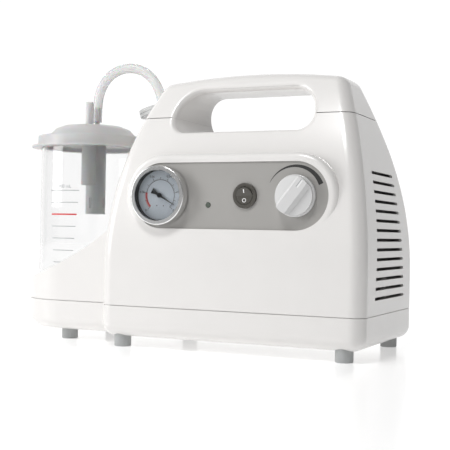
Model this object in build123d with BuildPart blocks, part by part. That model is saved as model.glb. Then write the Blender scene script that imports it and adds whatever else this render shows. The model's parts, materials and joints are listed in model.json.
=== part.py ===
from build123d import *
from math import asin, cos, pi, radians, sin, sqrt, tan
import os

# A portable medical suction pump: a white moulded casing with a carrying handle, a vacuum gauge,
# a power rocker and a vacuum regulator on its front, a collection jar standing in a well on its
# left, and a motor driving a diaphragm pump inside.
#
# Millimetres. +Z is up, -Y is the front with the controls, +X is the side with the vents.
# The model is built about the middle of the casing at floor level, and every piece is moved
# at the end so that the origin lies under the middle of the whole unit's box.

# ---------------------------------------------------------------- driving dimensions

# Casing
CASING_HALF_WIDTH = 130.5
CASING_HALF_DEPTH = 84.5
CASING_TOP = 262.0
UNDERSIDE = 10.0
LEAN_START = 75.0               # the walls are upright below this height
SIDE_LEAN_RADIUS = 455.0
FRONT_LEAN_RADIUS = 325.0
FRONT_LEAN_END = 250.0          # above this height the front is a straight slope
BACK_LEAN_RADIUS = 240.0
BACK_LEAN_END = 198.0
SHOULDER_HEIGHT = 255.0
SHOULDER_RADIUS = 14.0
CORNER_RADIUS = 13.0
BOTTOM_EDGE_RADIUS = 12.0
WALL = 2.6
BASE_SEAM = 39.2
HANDLE_SEAM = 219.5
SEAM_GAP = 0.7
TONGUE_HEIGHT = 4.0
TONGUE_CLEARANCE = 0.12
FIT = 0.15                      # between pieces that sit in each other and don't move

# Handle opening
HANDLE_HALF_WIDTH = 70.5
HANDLE_BOTTOM = 204.0
HANDLE_CEILING = 245.0
HANDLE_TOP_RADIUS = 26.0
HANDLE_BOTTOM_RADIUS = 14.0
HANDLE_EDGE_RADIUS = 4.5
GRIP_WALL = 3.0
GRIP_SEAM_GAP = 0.1

# Jar and the well that it stands in
JAR_X = -194.0
JAR_RADIUS = 53.2
JAR_WALL = 2.4
JAR_FLOOR = 3.5
JAR_BOTTOM_RADIUS = 6.0
JAR_TOP = 198.0
WELL_FLOOR = 25.0
WELL_CLEARANCE = 1.0
WELL_WALL = 2.4
PLATFORM_RADIUS = 61.7
PLATFORM_TIP_HEIGHT = 55.5
PLATFORM_SWEEP_RADIUS = 304.0
PLATFORM_TIP_SLOPE = 12.0       # degrees

# Jar lid and what hangs from it
LID_BRIM_RADIUS = 63.0
LID_BAND_RADIUS = 57.0
LID_BRIM_BOTTOM = 195.5
LID_BAND_TOP = 207.5
LID_SHOULDER_RADIUS = 47.0
LID_CROWN_RADIUS = 31.0
LID_CROWN_HEIGHT = 219.0
LID_PLUG_DEPTH = 2.5            # how far the lid reaches into the jar
LID_WALL = 2.2
LID_CLEARANCE = 0.4
SEAL_THICKNESS = 2.0
PATIENT_PORT = (3.0, -12.0)     # from the jar's axis
PATIENT_PORT_RADIUS = 4.2
PATIENT_PORT_TOP = 243.7
VACUUM_PORT = (-3.0, 12.0)
VACUUM_PORT_TOP = 241.0
SPLASH_TUBE_RADIUS = 7.5
SPLASH_TUBE_END = 157.0
CAGE_RADIUS = 10.5
CAGE_END = 127.0
TUBE_WALL = 1.2
FLOAT_TRAVEL = 13.0
FLOAT_HEIGHT = 50.0
FLOAT_CLEARANCE = 0.5

# Hose and filter
HOSE_RADIUS = 5.0
HOSE_BORE = 3.05
HOSE_END = 225.4
FILTER_CENTRE = (-126.4, 32.0, 239.4)
FILTER_RADIUS = 26.4
FILTER_THICKNESS = 8.0
FILTER_WALL = 1.2
FILTER_LEAN = 14.5              # degrees from upright
FILTER_HEADING = 204.75         # degrees, the way that the filter's top leans
ELBOW_RADIUS = 4.4
ELBOW_DROP = 36.0               # along the leaning axis, from the filter to the elbow's corner
ELBOW_BEND = 8.0
NUT_RADIUS = 6.3
NUT_SEAT_DEPTH = 9.5            # from the casing's wall in to the elbow's nut
SOCKET_RADIUS = 3.4             # the filter's socket, wide enough to lift off the leaning spigot
SPIGOT_RADIUS = 2.5
SPIGOT_LENGTH = 3.0
NOZZLE_RADIUS = 2.8
NOZZLE_BORE = 1.6

# Control panel
PANEL_FACE = 80.0               # the panel's face stands this far in front of the casing's middle
PANEL_HEIGHT = 143.3
PANEL_CENTRES = 66.5            # half the distance between the centres of its round ends
PANEL_RADIUS = 30.3
PANEL_THICKNESS = 1.5
PANEL_SET_IN = 1.2
BOSS_RADIUS = 38.5
BOSS_EDGE_RADIUS = 5.0

# Gauge
GAUGE_RIM_RADIUS = 27.5
GAUGE_CASE_RADIUS = 25.0
GAUGE_DEPTH = 22.0
GAUGE_STAND_OUT = 10.5
GAUGE_LENS_THICKNESS = 1.3
DIAL_RADIUS = 23.3
DIAL_FRONT = 2.6
POINTER_ANGLE = -30.0
POINTER_REACH = 18.0
POINTER_TAIL = 9.0
SPINDLE_RADIUS = 0.6
RUNNING_CLEARANCE = 0.05

# Power switch and indicator
SWITCH_X = 18.0
SWITCH_RIM_RADIUS = 11.5
SWITCH_BODY_RADIUS = 10.0
SWITCH_BODY_DEPTH = 18.0
SWITCH_STAND_OUT = 2.0
ROCKER_RADIUS = 7.9
ROCKER_CLEARANCE = 0.3
ROCKER_THROW = 20.0             # degrees
INDICATOR_X = -18.6
INDICATOR_DROP = 8.5            # below the panel's middle
INDICATOR_RADIUS = 2.5

# Vacuum regulator
KNOB_RADIUS = 18.75
KNOB_BODY_RADIUS = 17.3
KNOB_STAND_OUT = 11.5
KNOB_BAR_HALF_WIDTH = 4.3
KNOB_RIM_LEVEL = 5.6
KNOB_ANGLE = 52.0
STEM_RADIUS = 3.0
BUSHING_RADIUS = 5.0
VALVE_RADIUS = 11.0
VALVE_DEPTH = 24.0

# Side vents
VENT_COUNT = 14
VENT_LOWEST = 54.0
VENT_PITCH = 8.65
VENT_HEIGHT = 2.8
VENT_HALF_LENGTH_LOW = 49.0
VENT_HALF_LENGTH_HIGH = 35.0

# Feet and screws
FOOT_RADIUS = 8.0
FOOT_INSET_X = 20.0             # from the casing's side to the foot's axis
FOOT_INSET_Y = 13.2
PLATFORM_FOOT_X = -190.0
PLATFORM_FOOT_Y = 42.0
SCREW_RADIUS = 1.5
SCREW_HEAD_RADIUS = 3.0
SCREW_HEAD_HEIGHT = 2.0
BOSS_WALL = 2.6
HOUSING_SCREW_X = 112.0
HOUSING_SCREW_Y = 40.0
HANDLE_SCREW_X = 88.0

# Mains inlet on the back
INLET_X = 58.0
INLET_HEIGHT = 57.0
INLET_FLANGE = (50.0, 24.0, 2.5)
INLET_BODY = (28.0, 20.5, 20.0)
INLET_SCREW_SPACING = 40.0

# Motor and pump
MOTOR_Y = 14.0
MOTOR_HEIGHT = 78.0
STATOR_RADIUS = 41.0
STATOR_BORE = 25.6
STATOR_START = 8.0
STATOR_LENGTH = 46.0
WINDING_LENGTH = 9.0
ROTOR_RADIUS = 25.0
SHAFT_RADIUS = 4.0
BRACKET_THICKNESS = 8.0
BEARING_RADIUS = 11.0
BEARING_WIDTH = 7.0
FAN_RADIUS = 38.0
FAN_WIDTH = 12.0
FAN_BLADES = 7
CRANK_THROW = 3.0
ECCENTRIC_RADIUS = 9.0
ROD_BEARING_RADIUS = 13.0
ROD_WIDTH = 8.0
ROD_HEIGHT = 50.0               # from the crank's axis to the diaphragm
CRANKCASE_LENGTH = 40.0
DIAPHRAGM_RADIUS = 27.0
DIAPHRAGM_THICKNESS = 1.6
CLAMP_RADIUS = 13.0
HEAD_HALF_WIDTH = 29.0
CHAMBER_RADIUS = 22.0
PLATE_THICKNESS = 2.0
PLATE_HEIGHT = 26.0
MOUNT_RADIUS = 8.0

# ---------------------------------------------------------------- places worked out from them

PLATFORM_SWEEP_X = JAR_X - PLATFORM_RADIUS - PLATFORM_SWEEP_RADIUS * sin(radians(PLATFORM_TIP_SLOPE))
PLATFORM_SWEEP_Z = PLATFORM_TIP_HEIGHT + PLATFORM_SWEEP_RADIUS * cos(radians(PLATFORM_TIP_SLOPE))
WELL_RADIUS = JAR_RADIUS + WELL_CLEARANCE
CUP_RADIUS = WELL_RADIUS + WELL_WALL
BOSS_FACE = PANEL_FACE + PANEL_SET_IN
PANEL_BACK = PANEL_FACE - PANEL_THICKNESS
FRONT_WALL_BACK = PANEL_BACK - WALL
GAUGE_X = -PANEL_CENTRES
KNOB_X = PANEL_CENTRES
REACH = CASING_HALF_DEPTH + 20.0
CAGE_BORE = CAGE_RADIUS - TUBE_WALL
FLOAT_BOTTOM = CAGE_END + TUBE_WALL + FIT
FAN_X = STATOR_START + STATOR_LENGTH + WINDING_LENGTH + BRACKET_THICKNESS + 12.0
CRANK_X = STATOR_START - WINDING_LENGTH - BRACKET_THICKNESS - CRANKCASE_LENGTH / 2
DIAPHRAGM_Z = MOTOR_HEIGHT + ROD_HEIGHT


def side_lean(height):
    """How far the casing's sides have leant in at a height."""
    rise = max(0.0, height - LEAN_START)
    return SIDE_LEAN_RADIUS - sqrt(SIDE_LEAN_RADIUS**2 - rise**2)


def facing_front(x=0.0, depth=0.0, z=0.0):
    """A sketching plane seen from the front, depth in front of the casing's middle."""
    return Plane(origin=(x, -depth, z), x_dir=(1, 0, 0), z_dir=(0, -1, 0))


def facing_right(x, y=0.0, z=0.0):
    """A sketching plane seen from the +X side: y to the right, z up."""
    return Plane(origin=(x, y, z), x_dir=(0, 1, 0), z_dir=(1, 0, 0))


def facing_up(x, y, z):
    return Plane(origin=(x, y, z))


filter_axis = Vector(
    sin(radians(FILTER_LEAN)) * cos(radians(FILTER_HEADING)),
    sin(radians(FILTER_LEAN)) * sin(radians(FILTER_HEADING)),
    cos(radians(FILTER_LEAN)),
)
filter_centre = Vector(*FILTER_CENTRE)


def on_filter(height):
    """A plane square to the filter's leaning axis, height above the filter's middle."""
    return Plane(origin=filter_centre + filter_axis * height, z_dir=filter_axis)


pieces = {}


def keep(name, builder):
    pieces[name] = builder.part


def screw(plane, length, head_radius=SCREW_HEAD_RADIUS, head_height=SCREW_HEAD_HEIGHT):
    """A cross-head screw: its head stands on the plane and its shank runs back from it."""
    with BuildPart(plane, mode=Mode.PRIVATE) as made:
        Cylinder(SCREW_RADIUS, length, align=(Align.CENTER, Align.CENTER, Align.MAX))
        Cylinder(head_radius, head_height, align=(Align.CENTER, Align.CENTER, Align.MIN))
        with Locations((0, 0, head_height)):
            for turn in (0, 90):
                Box(head_radius, 0.8, head_height, rotation=(0, 0, turn), mode=Mode.SUBTRACT)
    return made.part


# ---------------------------------------------------------------- casing forms

def outline(right, left, cap):
    """A closed outline from the points of its two sides, each of which has its foot, the top of
    its upright wall, the end of the arc that leans in from there, and any straight run after
    that. It closes with an arc through the height of its cap, or straight across without one."""
    with BuildSketch(Plane.XY, mode=Mode.PRIVATE) as closed:
        with BuildLine():
            Polyline(left[1], left[0], right[0], right[1])
            TangentArc(right[1], right[2], tangent=(0, 1))
            TangentArc(left[1], left[2], tangent=(0, 1))
            if cap is None:
                Polyline(*right[2:], *reversed(left[2:]))
            else:
                ThreePointArc(right[2], (0, cap), left[2])
        make_face()
    return closed.sketch


def mirrored(points):
    return [(-across, up) for across, up in points]


def leaning_side(half_depth, foot, radius, end, inset):
    """One side of the casing's side outline, leaning in on an arc and then a straight slope."""
    turn = asin((end - LEAN_START) / radius)
    bend_z = LEAN_START + (radius - inset) * sin(turn)
    bend_y = half_depth - (radius - inset) * (1 - cos(turn))
    cap = CASING_TOP + 2 * WALL
    return [(half_depth, foot), (half_depth, LEAN_START), (bend_y, bend_z),
            (bend_y - (cap - bend_z) * tan(turn), cap)]


def casing_form(inset):
    """The casing's form, drawn in by inset: its front outline crossed with its side outline."""
    foot = UNDERSIDE + inset
    half_width = CASING_HALF_WIDTH - inset
    half_depth = CASING_HALF_DEPTH - inset
    shoulder = SHOULDER_HEIGHT - inset
    rise = shoulder - LEAN_START
    shoulder_x = CASING_HALF_WIDTH - SIDE_LEAN_RADIUS + sqrt((SIDE_LEAN_RADIUS - inset)**2 - rise**2)
    flank = [(half_width, foot), (half_width, LEAN_START), (shoulder_x, shoulder)]
    front_outline = outline(flank, mirrored(flank), CASING_TOP - inset)
    side_outline = outline(leaning_side(half_depth, foot, BACK_LEAN_RADIUS, BACK_LEAN_END, inset),
                           mirrored(leaning_side(half_depth, foot, FRONT_LEAN_RADIUS, FRONT_LEAN_END, inset)),
                           None)
    with BuildPart(mode=Mode.PRIVATE) as form:
        with BuildSketch(facing_front()) as front_view:
            add(front_outline)
            fillet(front_view.vertices().group_by(Axis.Y)[-1], SHOULDER_RADIUS - inset)
        extrude(amount=REACH, both=True)
        with BuildSketch(Plane.YZ):
            add(side_outline)
        extrude(amount=CASING_HALF_WIDTH + REACH, both=True, mode=Mode.INTERSECT)
        straight = form.edges().filter_by(GeomType.LINE)
        crossing = straight.filter_by(Axis.X) + straight.filter_by(Axis.Y)
        fillet([edge for edge in form.edges() if edge not in crossing], CORNER_RADIUS - inset)
        fillet(form.faces().sort_by(Axis.Z)[0].edges(), BOTTOM_EDGE_RADIUS - inset)
    return form.part


def platform_form(inset, lip_drop=0.0):
    """The round-ended platform beside the casing, under its hollow sweep up to the casing."""
    with BuildPart(mode=Mode.PRIVATE) as form:
        with BuildSketch(facing_up(0, 0, UNDERSIDE + inset)):
            with Locations((JAR_X, 0)):
                Circle(PLATFORM_RADIUS - inset)
                Rectangle(-JAR_X - CASING_HALF_WIDTH + 2 * CORNER_RADIUS, 2 * (PLATFORM_RADIUS - inset),
                          align=(Align.MIN, Align.CENTER))
        extrude(amount=CASING_TOP / 2)
        fillet(form.faces().sort_by(Axis.Z)[0].edges().filter_by(
            lambda edge: edge.center().X < -CASING_HALF_WIDTH + CORNER_RADIUS), BOTTOM_EDGE_RADIUS - inset)
        with BuildSketch(facing_front(PLATFORM_SWEEP_X, 0, PLATFORM_SWEEP_Z)):
            Circle(PLATFORM_SWEEP_RADIUS + lip_drop)
        extrude(amount=REACH, both=True, mode=Mode.SUBTRACT)
    return form.part


def plan_prism(inset, bottom, top):
    """An upright block on the plan of the whole base, drawn in by inset."""
    with BuildPart(mode=Mode.PRIVATE) as prism:
        with BuildSketch(facing_up(0, 0, bottom)):
            RectangleRounded(2 * (CASING_HALF_WIDTH - inset), 2 * (CASING_HALF_DEPTH - inset),
                             CORNER_RADIUS - inset)
            with Locations((JAR_X, 0)):
                Circle(PLATFORM_RADIUS - inset)
                Rectangle(-JAR_X, 2 * (PLATFORM_RADIUS - inset), align=(Align.MIN, Align.CENTER))
        extrude(amount=top - bottom)
    return prism.part


def stadium(radius, depth_from, depth_to):
    """A round-ended block on the control panel's outline, between two depths."""
    with BuildPart(mode=Mode.PRIVATE) as block:
        with BuildSketch(facing_front(0, depth_from, PANEL_HEIGHT)):
            SlotCenterToCenter(2 * PANEL_CENTRES, 2 * radius)
        extrude(amount=depth_to - depth_from)
    return block.part


def handle_hole(growth):
    """The prism through the casing that makes the handle, grown by growth all round."""
    with BuildPart(mode=Mode.PRIVATE) as hole:
        with BuildSketch(facing_front()) as outline:
            with Locations((0, (HANDLE_BOTTOM + HANDLE_CEILING) / 2)):
                Rectangle(2 * (HANDLE_HALF_WIDTH + growth), HANDLE_CEILING - HANDLE_BOTTOM + 2 * growth)
            fillet(outline.vertices().group_by(Axis.Y)[-1], HANDLE_TOP_RADIUS + growth)
            fillet(outline.vertices().group_by(Axis.Y)[0], HANDLE_BOTTOM_RADIUS + growth)
        extrude(amount=REACH, both=True)
    return hole.part


def slab(bottom, top):
    """Everything between two heights."""
    return Pos(0, 0, bottom) * Box(4 * REACH + 4 * CASING_HALF_WIDTH, 4 * REACH, top - bottom,
                                   align=(Align.CENTER, Align.CENTER, Align.MIN), mode=Mode.PRIVATE)


foot_places = [(x * (CASING_HALF_WIDTH - FOOT_INSET_X), y * (CASING_HALF_DEPTH - FOOT_INSET_Y))
               for x in (-1, 1) for y in (-1, 1)]
foot_places += [(PLATFORM_FOOT_X, -PLATFORM_FOOT_Y), (PLATFORM_FOOT_X, PLATFORM_FOOT_Y)]
housing_screw_places = [(x * HOUSING_SCREW_X, y * HOUSING_SCREW_Y) for x in (-1, 1) for y in (-1, 1)]
handle_screw_places = [(-HANDLE_SCREW_X, 0), (HANDLE_SCREW_X, 0)]
mount_places = [(x, MOTOR_Y + y) for x in (CRANK_X - 6, STATOR_START + STATOR_LENGTH + 12) for y in (-38, 38)]

# The raised boss that carries the control panel
with BuildPart() as panel_boss:
    add(stadium(BOSS_RADIUS, CASING_HALF_DEPTH / 2, BOSS_FACE))
    fillet(panel_boss.faces().sort_by(Axis.Y)[0].edges(), BOSS_EDGE_RADIUS)

# The whole outside, with the opening that makes the handle
with BuildPart() as outside:
    add(casing_form(0))
    add(handle_hole(0), mode=Mode.SUBTRACT)
    hole_rim = outside.edges().filter_by(
        lambda edge: abs(edge.center().X) < HANDLE_HALF_WIDTH + 1
        and HANDLE_BOTTOM - 1 < edge.center().Z < HANDLE_CEILING + 1
        and edge.bounding_box().size.Y < CASING_HALF_DEPTH / 2)
    fillet(hole_rim, HANDLE_EDGE_RADIUS)
    add(panel_boss.part)
    add(platform_form(0))

# ---------------------------------------------------------------- casing pieces

cover_line = HANDLE_SEAM + SEAM_GAP / 2
housing_top = HANDLE_SEAM - SEAM_GAP / 2
housing_bottom = BASE_SEAM + SEAM_GAP / 2
tray_top = BASE_SEAM - SEAM_GAP / 2
elbow_corner = filter_centre - filter_axis * ELBOW_DROP
nut_seat_x = -CASING_HALF_WIDTH + side_lean(elbow_corner.Z) + WALL + NUT_SEAT_DEPTH

# The hollow inside the casing and the platform
with BuildPart() as platform_hollow:
    add(platform_form(WALL, WALL))
    with BuildSketch(facing_up(JAR_X, 0, WELL_FLOOR - WELL_WALL)):
        Circle(CUP_RADIUS)
    extrude(amount=CASING_TOP, mode=Mode.SUBTRACT)
    with Locations((-CASING_HALF_WIDTH, 0, 0)):
        Box(REACH, 2 * REACH, CASING_TOP, align=(Align.MIN, Align.CENTER, Align.MIN), mode=Mode.SUBTRACT)

with BuildPart() as inside:
    add(casing_form(WALL))
    add(stadium(PANEL_RADIUS + WALL, FRONT_WALL_BACK, CASING_HALF_DEPTH), mode=Mode.SUBTRACT)
    add(stadium(BOSS_RADIUS - WALL, CASING_HALF_DEPTH / 2, FRONT_WALL_BACK))
    add(handle_hole(GRIP_WALL + FIT), mode=Mode.SUBTRACT)
    add(platform_hollow.part)

with BuildPart() as elbow_seat:
    with BuildSketch(facing_right(nut_seat_x, elbow_corner.Y, elbow_corner.Z)):
        Circle(NUT_RADIUS + 1)
    extrude(amount=-REACH)
    add(outside.part, mode=Mode.INTERSECT)

with BuildPart() as handle_bosses:
    with Locations(*[(x, y, housing_top) for x, y in handle_screw_places]):
        Cylinder(SCREW_RADIUS + BOSS_WALL, CASING_TOP - housing_top,
                 align=(Align.CENTER, Align.CENTER, Align.MIN))
    add(outside.part, mode=Mode.INTERSECT)

with BuildPart() as base_tray:
    add(outside.part)
    add(slab(0, tray_top), mode=Mode.INTERSECT)
    add(inside.part, mode=Mode.SUBTRACT)
    # the tongue that centres the housing on the tray
    add(plan_prism(WALL / 2 + TONGUE_CLEARANCE, tray_top, BASE_SEAM + TONGUE_HEIGHT)
        - plan_prism(WALL, tray_top - 1, BASE_SEAM + TONGUE_HEIGHT + 1))
    # bosses for the screws and for the pump's rubber mounts
    with BuildSketch(facing_up(0, 0, UNDERSIDE + WALL / 2)):
        with Locations(*housing_screw_places):
            Circle(SCREW_RADIUS + BOSS_WALL)
    extrude(amount=BASE_SEAM - UNDERSIDE - WALL / 2)
    with BuildSketch(facing_up(0, 0, UNDERSIDE + WALL / 2)):
        with Locations(*foot_places):
            Circle(SCREW_RADIUS + BOSS_WALL)
    extrude(amount=WELL_FLOOR - WELL_WALL / 2 - UNDERSIDE - WALL / 2)
    # the well's floor and everything over it stay clear for the jar
    with BuildSketch(facing_up(JAR_X, 0, WELL_FLOOR)):
        Circle(WELL_RADIUS)
    extrude(amount=CASING_TOP, mode=Mode.SUBTRACT)
    with Locations(*[(x, y, UNDERSIDE) for x, y in housing_screw_places]):
        Cylinder(SCREW_HEAD_RADIUS + 0.3, SCREW_HEAD_HEIGHT + 0.3,
                 align=(Align.CENTER, Align.CENTER, Align.MIN), mode=Mode.SUBTRACT)
        Cylinder(SCREW_RADIUS + FIT, BASE_SEAM, align=(Align.CENTER, Align.CENTER, Align.MIN),
                 mode=Mode.SUBTRACT)
    with Locations(*[(x, y, UNDERSIDE) for x, y in foot_places]):
        Cylinder(SCREW_RADIUS + FIT, WELL_FLOOR - WELL_WALL - UNDERSIDE,
                 align=(Align.CENTER, Align.CENTER, Align.MIN), mode=Mode.SUBTRACT)
keep("base_tray", base_tray)

with BuildPart() as main_housing:
    add(outside.part)
    add(slab(housing_bottom, housing_top), mode=Mode.INTERSECT)
    add(inside.part, mode=Mode.SUBTRACT)
    # the shelf across the top of each handle post, which the handle cover is screwed to
    add(inside.part & slab(housing_top - WALL, housing_top))
    with BuildSketch(facing_up(JAR_X, 0, WELL_FLOOR)):
        Circle(WELL_RADIUS)
    extrude(amount=CASING_TOP, mode=Mode.SUBTRACT)
    # the flat seat for the suction elbow's nut, inside the left wall
    add(elbow_seat.part)
    # posts for the screws that come up through the tray, each with a rib to the side wall
    for x, y in housing_screw_places:
        side = 1 if x > 0 else -1
        with BuildSketch(facing_up(0, 0, BASE_SEAM)):
            with Locations((x, y)):
                Circle(SCREW_RADIUS + BOSS_WALL)
                Rectangle(CASING_HALF_WIDTH - HOUSING_SCREW_X - WALL / 2, 2,
                          align=(Align.MIN if side > 0 else Align.MAX, Align.CENTER))
        extrude(amount=30)
    # the rebate that fits over the tray's tongue
    add(plan_prism(WALL / 2, BASE_SEAM - 1, BASE_SEAM + TONGUE_HEIGHT + FIT)
        - plan_prism(WALL + 0.01, BASE_SEAM - 2, BASE_SEAM + TONGUE_HEIGHT + 1), mode=Mode.SUBTRACT)
    with Locations(*[(x, y, BASE_SEAM) for x, y in housing_screw_places]):
        Cylinder(SCREW_RADIUS + 0.05, 20, align=(Align.CENTER, Align.CENTER, Align.MIN), mode=Mode.SUBTRACT)
    with Locations(*[(x, y, housing_top) for x, y in handle_screw_places]):
        Cylinder(SCREW_RADIUS + FIT, 2 * WALL + 2, mode=Mode.SUBTRACT)
    # the panel's seat and the holes behind it
    add(stadium(PANEL_RADIUS + FIT, PANEL_BACK, CASING_HALF_DEPTH + 5), mode=Mode.SUBTRACT)
    with BuildSketch(facing_front(0, CASING_HALF_DEPTH, PANEL_HEIGHT)):
        with Locations((GAUGE_X, 0)):
            Circle(GAUGE_CASE_RADIUS + 2 * FIT)
        with Locations((KNOB_X, 0)):
            Circle(BUSHING_RADIUS + FIT)
        with Locations((SWITCH_X, 0)):
            Circle(SWITCH_BODY_RADIUS + FIT)
        with Locations((INDICATOR_X, -INDICATOR_DROP)):
            Circle(INDICATOR_RADIUS + FIT)
    extrude(amount=-CASING_HALF_DEPTH / 2, mode=Mode.SUBTRACT)
    # cooling vents through the right side
    for row in range(VENT_COUNT):
        narrowing = (VENT_HALF_LENGTH_LOW - VENT_HALF_LENGTH_HIGH) * row / (VENT_COUNT - 1)
        half_length = VENT_HALF_LENGTH_LOW - narrowing
        with BuildSketch(facing_right(CASING_HALF_WIDTH + 5, 0, VENT_LOWEST + row * VENT_PITCH)):
            SlotOverall(2 * half_length, VENT_HEIGHT)
        extrude(amount=-32, mode=Mode.SUBTRACT)
    # the suction elbow's hole in the left side
    with BuildSketch(facing_right(-CASING_HALF_WIDTH, elbow_corner.Y, elbow_corner.Z)):
        Circle(ELBOW_RADIUS + FIT)
    extrude(amount=nut_seat_x + CASING_HALF_WIDTH + 1, mode=Mode.SUBTRACT)
    # the mains inlet's cut-out in the back
    with BuildSketch(facing_front(INLET_X, -CASING_HALF_DEPTH - 5, INLET_HEIGHT)):
        Rectangle(INLET_BODY[0] + 2 * FIT, INLET_BODY[1] + 2 * FIT)
        with GridLocations(INLET_SCREW_SPACING, 0, 2, 1):
            Circle(SCREW_RADIUS + 0.05)
    extrude(amount=CASING_HALF_DEPTH / 2, mode=Mode.SUBTRACT)
keep("main_housing", main_housing)

with BuildPart() as handle_cover:
    add(outside.part)
    add(slab(cover_line, 2 * CASING_TOP), mode=Mode.INTERSECT)
    add(handle_hole(GRIP_WALL + FIT), mode=Mode.SUBTRACT)
    add(inside.part, mode=Mode.SUBTRACT)
    add(handle_bosses.part)
    with Locations(*[(x, y, housing_top) for x, y in handle_screw_places]):
        Cylinder(SCREW_RADIUS + 0.05, 20, align=(Align.CENTER, Align.CENTER, Align.MIN), mode=Mode.SUBTRACT)
keep("handle_cover", handle_cover)

# The grip lines the opening and stands on the housing, so that only the cover's seam shows
with BuildPart() as handle_grip:
    add(outside.part)
    add(slab(housing_top + GRIP_SEAM_GAP, 2 * CASING_TOP), mode=Mode.INTERSECT)
    add(handle_hole(GRIP_WALL), mode=Mode.INTERSECT)
keep("handle_grip", handle_grip)

with BuildPart() as feet:
    with BuildSketch():
        with Locations(*foot_places):
            Circle(FOOT_RADIUS)
    extrude(amount=BASE_SEAM / 2)
    add(casing_form(0), mode=Mode.SUBTRACT)
    add(platform_form(0), mode=Mode.SUBTRACT)
    chamfer(feet.edges().group_by(Axis.Z)[0], 0.6)
    with Locations(*[(x, y, 0) for x, y in foot_places]):
        Cylinder(SCREW_HEAD_RADIUS + 0.4, UNDERSIDE / 2, align=(Align.CENTER, Align.CENTER, Align.MIN),
                 mode=Mode.SUBTRACT)
        Cylinder(SCREW_RADIUS + FIT, 2 * UNDERSIDE, align=(Align.CENTER, Align.CENTER, Align.MIN),
                 mode=Mode.SUBTRACT)
keep("feet", feet)

with BuildPart() as foot_screws:
    for x, y in foot_places:
        add(screw(Plane(origin=(x, y, UNDERSIDE / 2), z_dir=(0, 0, -1)), 15))
keep("foot_screws", foot_screws)

with BuildPart() as casing_screws:
    for x, y in housing_screw_places:
        add(screw(Plane(origin=(x, y, UNDERSIDE + SCREW_HEAD_HEIGHT + 0.3), z_dir=(0, 0, -1)),
                  BASE_SEAM - UNDERSIDE + 12))
    for x, y in handle_screw_places:
        add(screw(Plane(origin=(x, y, housing_top - WALL), z_dir=(0, 0, -1)), WALL + 16))
    for x in (-INLET_SCREW_SPACING / 2, INLET_SCREW_SPACING / 2):
        add(screw(Plane(origin=(INLET_X + x, CASING_HALF_DEPTH + INLET_FLANGE[2], INLET_HEIGHT),
                        z_dir=(0, 1, 0)), 10))
keep("casing_screws", casing_screws)

# ---------------------------------------------------------------- control panel and its instruments

with BuildPart() as control_panel:
    add(stadium(PANEL_RADIUS, PANEL_BACK, PANEL_FACE))
    with BuildSketch(facing_front(0, PANEL_FACE, PANEL_HEIGHT)):
        with Locations((GAUGE_X, 0)):
            Circle(GAUGE_CASE_RADIUS + 2 * FIT)
        with Locations((KNOB_X, 0)):
            Circle(BUSHING_RADIUS + FIT)
        with Locations((SWITCH_X, 0)):
            Circle(SWITCH_BODY_RADIUS + FIT)
        with Locations((INDICATOR_X, -INDICATOR_DROP)):
            Circle(INDICATOR_RADIUS + FIT)
    extrude(amount=-2 * PANEL_THICKNESS, mode=Mode.SUBTRACT)
keep("control_panel", control_panel)


def ring(plane, outer, inner, height):
    """A plain ring, or a disc when inner is 0, standing on a plane."""
    with BuildPart(mode=Mode.PRIVATE) as made:
        with BuildSketch(plane):
            Circle(outer)
            if inner:
                Circle(inner, mode=Mode.SUBTRACT)
        extrude(amount=height)
    return made.part


def at_gauge(depth):
    return facing_front(GAUGE_X, PANEL_FACE + depth, PANEL_HEIGHT)


lens_back = GAUGE_STAND_OUT - 2.5
with BuildPart() as gauge_case:
    add(ring(at_gauge(-GAUGE_DEPTH), GAUGE_CASE_RADIUS, 0, GAUGE_DEPTH + lens_back))
    add(ring(at_gauge(0), GAUGE_RIM_RADIUS - 0.5, 0, 1.2))
    add(ring(at_gauge(-GAUGE_DEPTH + 1.6), GAUGE_CASE_RADIUS - 1.4, 0, GAUGE_DEPTH + GAUGE_STAND_OUT),
        mode=Mode.SUBTRACT)
    # the ledge that the dial lies on, and the hole for the socket
    add(ring(at_gauge(DIAL_FRONT - 2.2), GAUGE_CASE_RADIUS - 1.2, DIAL_RADIUS - 1.6, 1.5))
    add(ring(at_gauge(-GAUGE_DEPTH - 1), 5 + FIT, 0, 4), mode=Mode.SUBTRACT)
keep("gauge_case", gauge_case)

with BuildPart() as gauge_bezel:
    add(ring(at_gauge(1.2), GAUGE_RIM_RADIUS, GAUGE_CASE_RADIUS + FIT,
             lens_back - 1.2 + GAUGE_LENS_THICKNESS))
    add(ring(at_gauge(lens_back + GAUGE_LENS_THICKNESS), GAUGE_RIM_RADIUS, GAUGE_CASE_RADIUS - 1.4,
             GAUGE_STAND_OUT - lens_back - GAUGE_LENS_THICKNESS))
    fillet(gauge_bezel.faces().sort_by(Axis.Y)[0].outer_wire().edges(), 1.0)
    # the two lugs that lock the bezel
    with BuildSketch(at_gauge(GAUGE_STAND_OUT - 0.6)):
        with PolarLocations(GAUGE_CASE_RADIUS - 0.8, 2, start_angle=46, angular_range=88):
            RectangleRounded(2.6, 4.2, 0.8)
    extrude(amount=1.0)
keep("gauge_bezel", gauge_bezel)

with BuildPart() as gauge_lens:
    add(ring(at_gauge(lens_back), GAUGE_CASE_RADIUS, 0, GAUGE_LENS_THICKNESS))
keep("gauge_lens", gauge_lens)

with BuildPart() as gauge_dial:
    add(ring(at_gauge(DIAL_FRONT - 0.6), DIAL_RADIUS, SPINDLE_RADIUS + 0.9, 0.6))
keep("gauge_dial", gauge_dial)

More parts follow.
